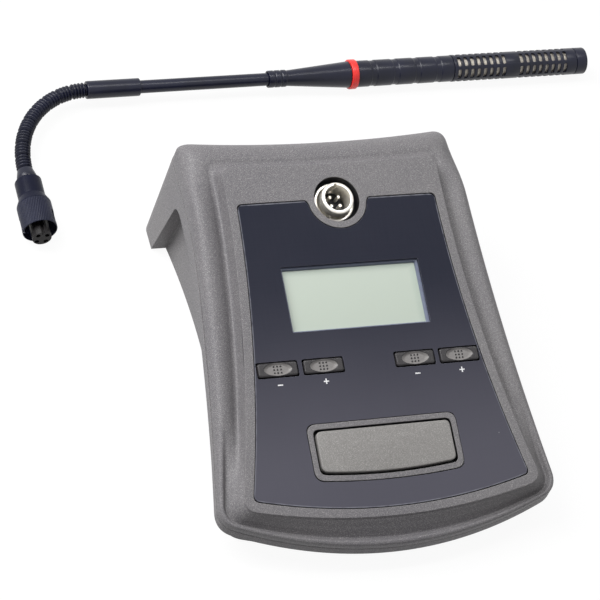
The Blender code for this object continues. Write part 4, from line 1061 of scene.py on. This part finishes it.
def coverBody():
    rim, plateau = rimOutline(), plateauOutline()
    rings = [deskRing(rim, -cover["over"]),
             [deskOrigin + Vector((point.x, point.y, seamHeight(point.y))) for point in rim]]
    for step in range(1, cover["stations"] + 1):
        share = step / cover["stations"]
        rings.append(coverRing(rim, plateau,
                               share ** cover["stationPower"] * cover["lastStation"]))
    edge = cover["edge"]
    low = -edge * 2
    rings.append(faceRing(plateau, low))
    for share in cover["edgeShares"]:
        turn = share * math.pi / 2
        rings.append(faceRing(plateauOutline(edge * (1 - math.cos(turn))),
                              low * 0.5 * (1 - math.sin(turn))))
    return loftMesh("cover", rings)


def coverHollow():
    wall = cover["wall"]
    rim, innerRim, plateau = rimOutline(), rimOutline(wall), plateauOutline()
    rings = [deskRing(innerRim, -cover["over"] * 2)]
    rings += [coverRing(rim, plateau, place, wall) for place in cover["insidePlaces"]]
    rings[1] = [Vector((flat.x + deskOrigin.x, flat.y + deskOrigin.y, point.z))
                for flat, point in zip(innerRim, rings[1])]
    rings.append(faceRing(plateauOutline(wall), -wall))
    return loftMesh("hollow", rings)


def sideBlock(name, line, half):    # a side view (y, z), given width along X
    rings = [[deskOrigin + Vector((side * half, y, z)) for y, z in line] for side in (-1, 1)]
    return loftMesh(name, rings)


def deskSpan():    # y from before the desk unit's front to behind its rear
    return (cover["rimFront"][1] - cover["rimBows"][0] - cover["over"],
            housing["lowRear"][1] + cover["over"])


def seamBlock(side, steps=90):    # what lies below the seam (-1), or above it (1)
    start, end = deskSpan()
    line = [start + (end - start) * step / steps for step in range(steps + 1)]
    line = [(y, seamHeight(y) - side * cover["seamGap"] / 2) for y in line]
    far = -cover["over"] * 3 if side < 0 else face["rise"] + cover["seamLevel"]
    return sideBlock("seam", line + [(end, far), (start, far)],
                     cover["rimFront"][0] + cover["over"])


def panelOutline(growth=0.0):
    front, rear = panel["front"], panel["rear"]
    return evenOutline((front[0] + growth, front[1] - growth), (rear[0] + growth, growth),
                       panel["bows"], panel["radii"], (64, 30, 1, 30), 8)


def notchOutline(growth, over, steps=48, turnSteps=8):
    radius = cover["notchRadius"] + growth
    shoulder = cover["notchShoulder"] + growth
    turn = math.radians(cover["notchTurn"])
    points = []
    for step in range(steps + 1):
        angle = math.pi + turn + (math.pi - 2 * turn) * step / steps
        points.append(Vector((radius * math.cos(angle), radius * math.sin(angle))))
    end, corner = points[-1], Vector((radius, -growth))
    last = Vector((shoulder, cover["notchRise"] - growth))
    points += [curved(end, corner, last, step / turnSteps) for step in range(1, turnSteps + 1)]
    points += [Vector((shoulder, over)), Vector((-shoulder, over))]
    points += [Vector((-points[steps + step].x, points[steps + step].y))
               for step in range(turnSteps, 0, -1)]
    return points


def windowOutline(growth=0.0):
    reach = window["half"] + growth
    return evenOutline((reach, window["front"] - growth), (reach, window["rear"] + growth),
                       (0, 0, 0), (window["radius"],) * 2, (1, 1, 1, 1), 4)


def roundOutline(radius, steps=64):
    turns = [2 * math.pi * step / steps for step in range(steps)]
    return [Vector((radius * math.cos(turn), radius * math.sin(turn))) for turn in turns]


def makeCover(material):
    over, wall, gap = cover["over"], cover["wall"], cover["gap"]
    piece = newPiece("shell_cover", "desk_unit", material, coverBody(), ["top_cover"])
    cutPiece(piece, coverHollow())
    cutPiece(piece, seamBlock(-1))
    wellLow = -cover["wellDepth"] - cover["wellFloor"]
    cutPiece(piece, facePlate("well", roundOutline(cover["wellOuter"]), wellLow, -wall / 2),
             "UNION")
    cutPiece(piece, facePlate("well", roundOutline(cover["wellRadius"]), -cover["wellDepth"],
                              over))
    cutPiece(piece, facePlate("hole", roundOutline(cover["wellHole"]), wellLow - over, 0))
    bed = newPiece("recess", "desk_unit", material,
                   facePlate("recess", panelOutline(gap), -cover["recess"], over))
    cutPiece(bed, facePlate("tongue", notchOutline(-gap, over), -over, over * 2))
    cutPiece(bed, facePlate("island", surroundOutline(), -over, over * 2))
    cutPiece(piece, bed.data)
    bpy.data.objects.remove(bed, do_unlink=True)
    for middle in keyMiddles.values():
        cutPiece(piece, facePlate("key", keyOutline(middle, keys["gap"]), -wall * 2, over))
    cutPiece(piece, facePlate("talk", talkOutline(cover["talkGap"]), -wall * 2, over))
    bevel = window["bevel"]
    rings = [faceRing(windowOutline(-bevel - over / 4), -wall * 2),
             faceRing(windowOutline(-bevel), -wall - over / 8),
             faceRing(windowOutline(0), 0), faceRing(windowOutline(0), over)]
    cutPiece(piece, loftMesh("window", rings))
    finishEdges(piece, 32)


# Lower housing: skirt under the seam, recessed side walls and the leg at the rear
housing = {
    "wall": 0.0025, "lift": 0.0008, "skirtRear": 0.0085, "skirtFront": 0.0043,
    "skirtTaper": -0.110, "legFront": 0.0278, "legSlope": 0.198, "legFillet": 0.006,
    "lowRear": (0.0723, 0.0448), "panInset": 0.0056,
    "panFront": (0.0763, -0.137), "panRear": (0.0658, 0.036), "panBows": (0.014, -0.009, 0),
}


def housingOutline(inset=0.0, low=False):
    rear = housing["lowRear"] if low else cover["rimRear"]
    return insetOutline(cover["rimFront"], rear, cover["rimBows"], cover["rimRadii"], inset)


def panOutline(inset=0.0, low=False):
    if not low:
        return rimOutline(housing["panInset"] + inset)
    return insetOutline(housing["panFront"], housing["panRear"], housing["panBows"],
                        cover["rimRadii"], inset)


def skirtHeight(y):
    share = min(1.0, max(0.0, y / housing["skirtTaper"]))
    return housing["skirtRear"] + (housing["skirtFront"] - housing["skirtRear"]) * share


def sideView(inset=0.0, steps=120, turnSteps=20):
    # Skirt and leg from the side: what the housing keeps, up to above the seam
    start, last = deskSpan()
    legFront = housing["legFront"] + inset
    fillet = housing["legFillet"]
    line = []
    for step in range(steps + 1):
        y = start + (last - start) * step / steps
        low = seamHeight(y) - skirtHeight(y) + inset
        if y > legFront - housing["legSlope"] * (low - housing["lift"]) - fillet - inset:
            break
        line.append(Vector((y, low)))
    cornerY = y + fillet
    corner = Vector((cornerY, seamHeight(cornerY) - skirtHeight(cornerY) + inset))
    foot = Vector((legFront, housing["lift"] + inset))
    end = corner + (foot - corner).normalized() * fillet
    first = line[-1]
    line += [curved(first, corner, end, step / turnSteps) for step in range(1, turnSteps)]
    roof = face["rise"] + cover["over"]
    return line + [end, foot, Vector((last, foot.y)), Vector((last, roof)),
                   Vector((line[0].x, roof))]


def makeHousing(material):
    top, low, over = cover["seamLevel"] + cover["over"], housing["lift"], cover["over"]
    width, wall = cover["rimFront"][0] + cover["over"], housing["wall"]
    outer = loftMesh("outer", [deskRing(housingOutline(0, True), low - over),
                               deskRing(housingOutline(), top)])
    piece = newPiece("shell_housing", "desk_unit", material, outer, ["lower_housing"])
    cutPiece(piece, sideBlock("side", sideView(), width), "INTERSECT")
    pan = loftMesh("pan", [deskRing(panOutline(0, True), low),
                           deskRing(panOutline(), top - over / 4)])
    cutPiece(piece, pan, "UNION")
    hollow = newPiece("hollow", "desk_unit", material,
                      loftMesh("hollow", [deskRing(housingOutline(wall, True), low - over * 2),
                                          deskRing(housingOutline(wall), top + over)]))
    cutPiece(hollow, sideBlock("side", sideView(wall), width * 1.1), "INTERSECT")
    cutPiece(piece, hollow.data)
    bpy.data.objects.remove(hollow, do_unlink=True)
    cutPiece(piece, loftMesh("inner", [deskRing(panOutline(wall, True), low - over),
                                       deskRing(panOutline(wall), top + over * 2)]))
    cutPiece(piece, seamBlock(1))
    finishEdges(piece, 30)


# Overlay panel with its openings
def makePanel(material):
    gap, over = cover["gap"], cover["over"]
    low = panel["top"] - panel["thick"]
    plate = facePlate("panel", panelOutline(-panel["play"]), low, panel["top"])
    piece = newPiece("overlay_sheet", "desk_unit", material, plate, ["overlay_panel"])
    tools = [notchOutline(0, over), surroundOutline(gap), windowOutline(gap)]
    tools += [keyOutline(middle, keys["gap"]) for middle in keyMiddles.values()]
    for tool in tools:
        cutPiece(piece, facePlate("opening", tool, low - over, over))
    finishEdges(piece, 20)


# Talk key: a long bar with bowed edges, in lighter tones of the cover's lacquer, painted light for the brighter
# light at the front
talk = {
    "half": 0.0338, "rear": -0.1128, "front": -0.1331, "bow": 0.0021, "radius": 0.003,
    "proud": 0.0009, "deep": -0.0024, "inset": 0.0006, "edge": 0.0006,
    # painted light: lighter tones of the cover's lacquer
    "lacquer": {"dark": tone(128, 126, 124), "light": tone(144, 142, 140),
                "speck": tone(188, 185, 182)},
}


def talkOutline(growth=0.0, radius=talk["radius"]):
    reach = talk["half"] + growth
    return evenOutline((reach, talk["front"] - growth), (reach, talk["rear"] + growth),
                       (talk["bow"], 0, 0), (radius, radius), (30, 4, 24, 4), 8)


def surroundOutline(growth=0.0):    # of the band of the cover that frames the talk key
    return talkOutline(cover["surround"] + growth, talk["radius"] + cover["surround"] / 2)


def makeTalkKey(material):
    values = talk
    edge, inset = values["edge"], values["inset"]
    rings = [faceRing(talkOutline(-inset), values["deep"]),
             faceRing(talkOutline(-inset), values["proud"] - edge)]
    for step in range(1, 7):
        turn = step / 6 * math.pi / 2
        rings.append(faceRing(talkOutline(-inset - edge * (1 - math.cos(turn)),
                                          values["radius"] - edge / 2),
                              values["proud"] - edge * (1 - math.sin(turn))))
    mesh = loftMesh("talk_bar", rings, 40)
    newPiece("talk_bar", "talk_key", material, mesh, ["talk_key"])


# Small keys: each a bar with a lens-shaped dish, and nine dots in it
keys = {
    "half": 0.0097, "rear": -0.0786, "front": -0.0853, "proud": 0.0006, "deep": -0.0024,
    "roundOff": 0.0007, "roundFall": 0.8, "corner": 0.0012, "gap": 0.0006,
    "dishHalf": 0.0070, "dishHalfV": 0.0031, "dishDepth": 0.0009,
    "dishSide": 2.2, "dishPower": 0.8,
    "dotRadius": 0.00048, "dotHeight": 0.00028, "dotPitchU": 0.00165, "dotPitchV": 0.00155,
    "innerU": 0.0229, "outerU": 0.04545,
    "body": tone(50, 48, 50), "lens": tone(128, 125, 124), "dot": tone(26, 25, 27),
    # rim: painted highlight on the key's edges
    "speck": tone(150, 148, 148), "rim": tone(150, 148, 148),
}
keyMiddles = {"set_minus": -keys["outerU"], "set_plus": -keys["innerU"],
              "volume_minus": keys["innerU"], "volume_plus": keys["outerU"]}


def keyOutline(middle, growth=0.0):
    reach = keys["half"] + growth
    points = evenOutline((reach, keys["front"] - growth), (reach, keys["rear"] + growth),
                         (0, 0, 0), (keys["corner"],) * 2, (1, 1, 1, 1), 5)
    return [Vector((point.x + middle, point.y)) for point in points]


def keyFinish():    # glossy dark ends, a lighter speckled dish, nine dark dots in it, edges lightened as a painted highlight
    made = Finish("keyGloss", Metallic=0.0, IOR=1.46, Specular_IOR_Level=0.35)
    u, v = facePlaces(made)[:2]
    between = (keys["outerU"] - keys["innerU"]) / 2
    across = ((u.size() - (keys["outerU"] + keys["innerU"]) / 2).size() - between).size()
    along = (v - (keys["rear"] + keys["front"]) / 2).size()
    lens = 1 - ((across / keys["dishHalf"]) ** 2 + (along / keys["dishHalfV"]) ** 2).between(
        0.86, 1.0)
    columns = across.least((across - keys["dotPitchU"]).size())
    rows = along.least((along - keys["dotPitchV"]).size())
    dots = 1 - (columns * columns + rows * rows).between((keys["dotRadius"] * 0.8) ** 2,
                                                         (keys["dotRadius"] * 1.1) ** 2)
    dots = dots * (1 - across.between(keys["dotPitchU"] * 1.4, keys["dotPitchU"] * 1.5))
    speck = made.noise(lacquer["speckScale"], 1, 0.4)
    color = made.blendColors(lens, keys["body"], keys["lens"])
    color = made.blendColors(speck.between(0.58, 0.74) * lens * 0.7, color, keys["speck"])
    color = made.blendColors(dots, color, keys["dot"])
    # painted highlight: the key's edges lightened
    edge = made.edges(0.0003)
    color = made.blendColors(edge * 0.6, color, keys["rim"])
    made.shade(Base_Color=color, Roughness=0.24 + lens * 0.14 + speck * 0.05,
               Normal=made.relief(speck, 0.00001, 0.4, made.rounded(0.0002)))
    return made.material


def keyHeight(u, v):    # height of a small key's top, u and v from its middle
    half = (keys["rear"] - keys["front"]) / 2
    reachU = keys["half"] - abs(u)
    reachV = half - abs(v)
    near = min(reachU, reachV)
    fall = max(0.0, 1 - near / keys["roundOff"])
    height = keys["proud"] - fall ** 2 * keys["roundOff"] * keys["roundFall"]
    lens = 1 - (u / keys["dishHalf"]) ** 2 - (v / keys["dishHalfV"]) ** 2
    if lens > 0:
        height -= keys["dishDepth"] * min(1.0, lens * keys["dishSide"]) ** keys["dishPower"]
    for column in (-1, 0, 1):
        for row in (-1, 0, 1):
            middle = (column * keys["dotPitchU"], row * keys["dotPitchV"])
            far = math.hypot(u - middle[0], v - middle[1]) / keys["dotRadius"]
            if far < 1:
                height += keys["dotHeight"] * math.sqrt(1 - far ** 2)
    return height


def cornered(u, v, halfU, halfV, radius):    # draws a grid's corner points onto a round
    overU = abs(u) - (halfU - radius)
    overV = abs(v) - (halfV - radius)
    if overU <= 0 or overV <= 0:
        return u, v
    length = math.hypot(overU, overV)
    scale = max(overU, overV) / length
    return (math.copysign(halfU - radius + overU * scale, u),
            math.copysign(halfV - radius + overV * scale, v))


def keyMesh(name, middleU):
    columns, rows = 120, 44
    half = (keys["rear"] - keys["front"]) / 2
    middleV = (keys["rear"] + keys["front"]) / 2
    shape = bmesh.new()
    grid = []
    for row in range(rows + 1):
        line = []
        for column in range(columns + 1):
            u = keys["half"] * (2 * column / columns - 1)
            v = half * (2 * row / rows - 1)
            height = keyHeight(u, v)
            u, v = cornered(u, v, keys["half"], half, keys["corner"])
            line.append(shape.verts.new(faceMatrix @ Vector((middleU + u, middleV + v, height))))
        grid.append(line)
    for row in range(rows):
        for column in range(columns):
            shape.faces.new((grid[row][column], grid[row][column + 1],
                             grid[row + 1][column + 1], grid[row + 1][column]))
    rim = (grid[0][:-1] + [line[-1] for line in grid[:-1]] + grid[-1][:0:-1]
           + [line[0] for line in grid[:0:-1]])
    toFace = faceMatrix.inverted()
    low = []
    for vert in rim:
        point = toFace @ vert.co
        low.append(shape.verts.new(faceMatrix @ Vector((point.x, point.y, keys["deep"]))))
    joinRings(shape, low, rim)
    shape.faces.new(low)
    return meshFrom(name, shape, 50)


def makeKeys(material):
    for place, u in keyMiddles.items():
        name = "small_key_" + place
        newPiece(name, place + "_key", material, keyMesh(name, u), ["key_" + place])


# Plain white minus and plus marks under the small keys
marks = {
    "v": -0.0895, "arm": 0.0013, "stroke": 0.0003, "thick": 0.00004, "lift": -0.00018,
    "ink": tone(240, 240, 242),
}


def markOutline(plus):
    arm, stroke = marks["arm"], marks["stroke"]
    if not plus:
        return [(-arm, -stroke), (arm, -stroke), (arm, stroke), (-arm, stroke)]
    return [(-arm, -stroke), (-stroke, -stroke), (-stroke, -arm), (stroke, -arm),
            (stroke, -stroke), (arm, -stroke), (arm, stroke), (stroke, stroke), (stroke, arm),
            (-stroke, arm), (-stroke, stroke), (-arm, stroke)]


def inkFinish():
    made = Finish("markInk", Metallic=0.0)
    cloud = made.noise(2400, 2, 0.6)
    made.shade(Base_Color=made.blendColors(cloud, tone(222, 222, 224), marks["ink"]),
               Roughness=0.45 + cloud * 0.15, Normal=made.relief(cloud, 0.000005, 0.3))
    return made.material


def makeMarks():
    shape = bmesh.new()
    for place, u in keyMiddles.items():
        outline = [(u + x, marks["v"] + y) for x, y in markOutline("plus" in place)]
        low, high = [[shape.verts.new(point) for point in faceRing(outline, height)]
                     for height in (marks["lift"], marks["lift"] + marks["thick"])]
        shape.faces.new(high)
        shape.faces.new(low[::-1])
        joinRings(shape, low, high)
    newPiece("key_marks", "desk_unit", inkFinish(), meshFrom("key_marks", shape))


# Round socket: a turned sleeve with a key way, and its slotted ring nut
socket = {
    "radius": 0.0080, "bore": 0.0064, "proud": 0.0015, "tail": 0.020, "edge": 0.0004,
    "keyWay": 0.0016, "keyWayLength": 0.02, "insulator": -0.0082, "threadStart": 0.0016,
    "nutRadius": 0.0099, "nutThick": 0.0024, "nutSlot": 0.0022, "nutTurn": 60.0,
    "threadPitch": 0.00055, "threadDepth": 0.00018, "gap": 0.0003,
}


def alongFace(place):    # Y of a turned profile becomes the face's n
    upright = faceMatrix @ Matrix.Rotation(math.radians(90), 4, "X")
    return upright @ Matrix.Translation((0, place, 0))


def makeSocket(material):
    values = socket
    nutLow = -cover["wellDepth"] + values["gap"]
    nutHigh = nutLow + values["nutThick"]
    radius, edge = values["radius"], values["edge"]
    side = [(values["proud"], radius - edge), (values["proud"] - edge, radius)]
    place = values["proud"] - values["threadStart"]
    while place > nutHigh + values["threadPitch"]:
        side += [(place, radius), (place - values["threadPitch"] / 2,
                                   radius - values["threadDepth"])]
        place -= values["threadPitch"]
    profile = [(values["proud"], values["bore"])] + side
    profile += [(nutHigh, radius), (-values["tail"], radius), (-values["tail"], values["bore"])]
    mesh = sweptMesh("socket_sleeve", profile, alongFace, 96, 25, True)
    piece = newPiece("socket_sleeve", "desk_unit", material, mesh, ["socket_shell"])
    middle = (0, values["bore"], values["insulator"] + values["keyWayLength"] / 2)
    way = boxShape((values["keyWay"], values["keyWay"], values["keyWayLength"]),
                   faceMatrix @ Matrix.Translation(middle))
    cutPiece(piece, meshFrom("way", way))
    bevelPiece(piece, 0.00015, 50)
    bore = radius + values["gap"]
    nut = [(nutHigh, bore), (nutHigh, values["nutRadius"]), (nutLow, values["nutRadius"]),
           (nutLow, bore)]
    piece = turnedPiece("ring_nut", "desk_unit", material, nut, alongFace, ["socket_nut"],
                        radius=0.0004)
    slot = boxShape((values["nutRadius"] * 2.4, values["nutSlot"], values["nutThick"]),
                    faceMatrix @ Matrix.Translation((0, 0, nutHigh))
                    @ Matrix.Rotation(math.radians(values["nutTurn"]), 4, "Z"))
    cutPiece(piece, meshFrom("slot", slot))
    finishEdges(piece, 35)


# Finishes of the CAD nodes that stay as they are
def dressNodes(finishes):
    slots = {row["node"]: row["material_slot"] for row in frame["record"]["subparts"]}
    for name, node in nodes.items():
        node.data.materials.clear()
        node.data.materials.append(finishes[slots[name]])
    nodes["top_cover"].data.materials[0] = finishes["cover"]


# Studio: pale floor that keeps the shadow, white background, soft lamps
lamps = {
    "left": {"place": (-0.88, 0.45, 1.05), "wide": 0.9, "deep": 0.9, "power": 21.0},
    "above": {"place": (0.0, 0.20, 1.50), "wide": 1.6, "deep": 0.12, "power": 8.0},
}
daylight = {"strength": 0.20, "floorGlow": 0.85, "floorLevel": 1.10}


def seenDirectly(made):    # 1 for what the camera, gloss or glass shows of the background
    rays = [made.add("LightPath", output=name)
            for name in ("Is Camera Ray", "Is Glossy Ray", "Is Transmission Ray")]
    return (rays[0] + rays[1] + rays[2]).least(1.0)


def makeFloor():
    mesh = bpy.data.meshes.new("floor")
    reach = 3.0
    mesh.from_pydata([(-reach, -reach, 0), (reach, -reach, 0), (reach, reach, 0),
                      (-reach, reach, 0)], [], [(0, 1, 2, 3)])
    floor = bpy.data.objects.new("floor", mesh)
    studio.objects.link(floor)
    made = Finish("paleFloor", Roughness=0.9)
    made.shade(Base_Color=tone(190, 190, 190))
    glow = made.add("Emission", None, {"Color": (1, 1, 1, 1), "Strength": daylight["floorLevel"]})
    mixed = made.add("MixShader", None, {0: seenDirectly(made) * daylight["floorGlow"],
                                         1: Wire(made, made.shader.outputs[0]), 2: glow})
    made.feed(made.tree.nodes["Material Output"].inputs["Surface"], mixed)
    mesh.materials.append(made.material)


def makeWorld():
    world = bpy.data.worlds.new("studio")
    world.use_nodes = True
    bpy.context.scene.world = world
    made = Nodes(world.node_tree)
    strength = seenDirectly(made) * (1 - daylight["strength"]) + daylight["strength"]
    background = made.tree.nodes["Background"]
    made.feed(background.inputs["Color"], (1, 1, 1, 1))
    made.feed(background.inputs["Strength"], strength)


def makeLamps():
    for name, values in lamps.items():
        lamp = bpy.data.lights.new(name, "AREA")
        lamp.shape = "RECTANGLE"
        lamp.size = values["wide"]
        lamp.size_y = values["deep"]
        lamp.energy = values["power"]
        holder = bpy.data.objects.new(name, lamp)
        studio.objects.link(holder)
        holder.location = values["place"]
        holder.rotation_euler = (-Vector(values["place"])).to_track_quat("-Z", "Y").to_euler()


makeFloor()
makeWorld()
makeLamps()
bpy.context.scene.view_settings.view_transform = "Standard"
print("studio built")

blackSatin = satinFinish("blackSatin")
finishes = {
    "grey_plastic": lacquerFinish("greyLacquer", lacquer),
    # the cover's copy of the lacquer, with painted shade in its gaps, its well and round the display
    "cover": lacquerFinish("shadedCoverLacquer", lacquer, True),
    "key_plastic": plasticFinish("keyPlastic", tone(74, 72, 71), tone(92, 90, 88), 0.36,
                                 2600, 0.00002),
    "panel_sheet": sheetFinish(),
    "display_glass": glassFinish(),
    "board_green": boardFinish(),
    "nickel": metalFinish("brightNickel", bright["plate"], bright["stain"], 0.28, 0.75),
    "tin": metalFinish("tinPlate", bright["tin"], bright["steel"], 0.34),
    "black_plastic": plasticFinish("blackPlastic", tone(20, 18, 19), tone(30, 28, 29), 0.40,
                                   1800, 0.00002),
    "rubber": plasticFinish("footRubber", tone(30, 30, 30), tone(42, 42, 42), 0.75,
                            1200, 0.00005),
    "steel": metalFinish("plainSteel", bright["steel"], tone(96, 94, 92), 0.36),
    "battery_wrap": plasticFinish("batteryWrap", tone(36, 74, 140), tone(46, 92, 168), 0.30,
                                  300, 0.00004),
    "black_metal": blackSatin,
    "red_ring": ringFinish(),
    "mesh_metal": meshFinish(),
}
dressNodes(finishes)
print("finishes: {}".format(len(finishes)))

makeCover(finishes["cover"])
makeHousing(finishes["grey_plastic"])
makePanel(finishes["panel_sheet"])
makeTalkKey(lacquerFinish("litTalkLacquer", dict(lacquer, **talk["lacquer"])))
makeSocket(finishes["nickel"])
print("desk unit built")

makeCollar()
makeFerrule(blackSatin)
makeNeck(satinFinish("ribSatin", 0.22, None, 0.3))
print("plug and gooseneck built")

makeStem(blackSatin)
makeHead(blackSatin, finishes["red_ring"])
makeSlottedTube(blackSatin, finishes["mesh_metal"])
print("stem and head built")

makeKeys(keyFinish())
makeMarks()
print("keys and marks built")
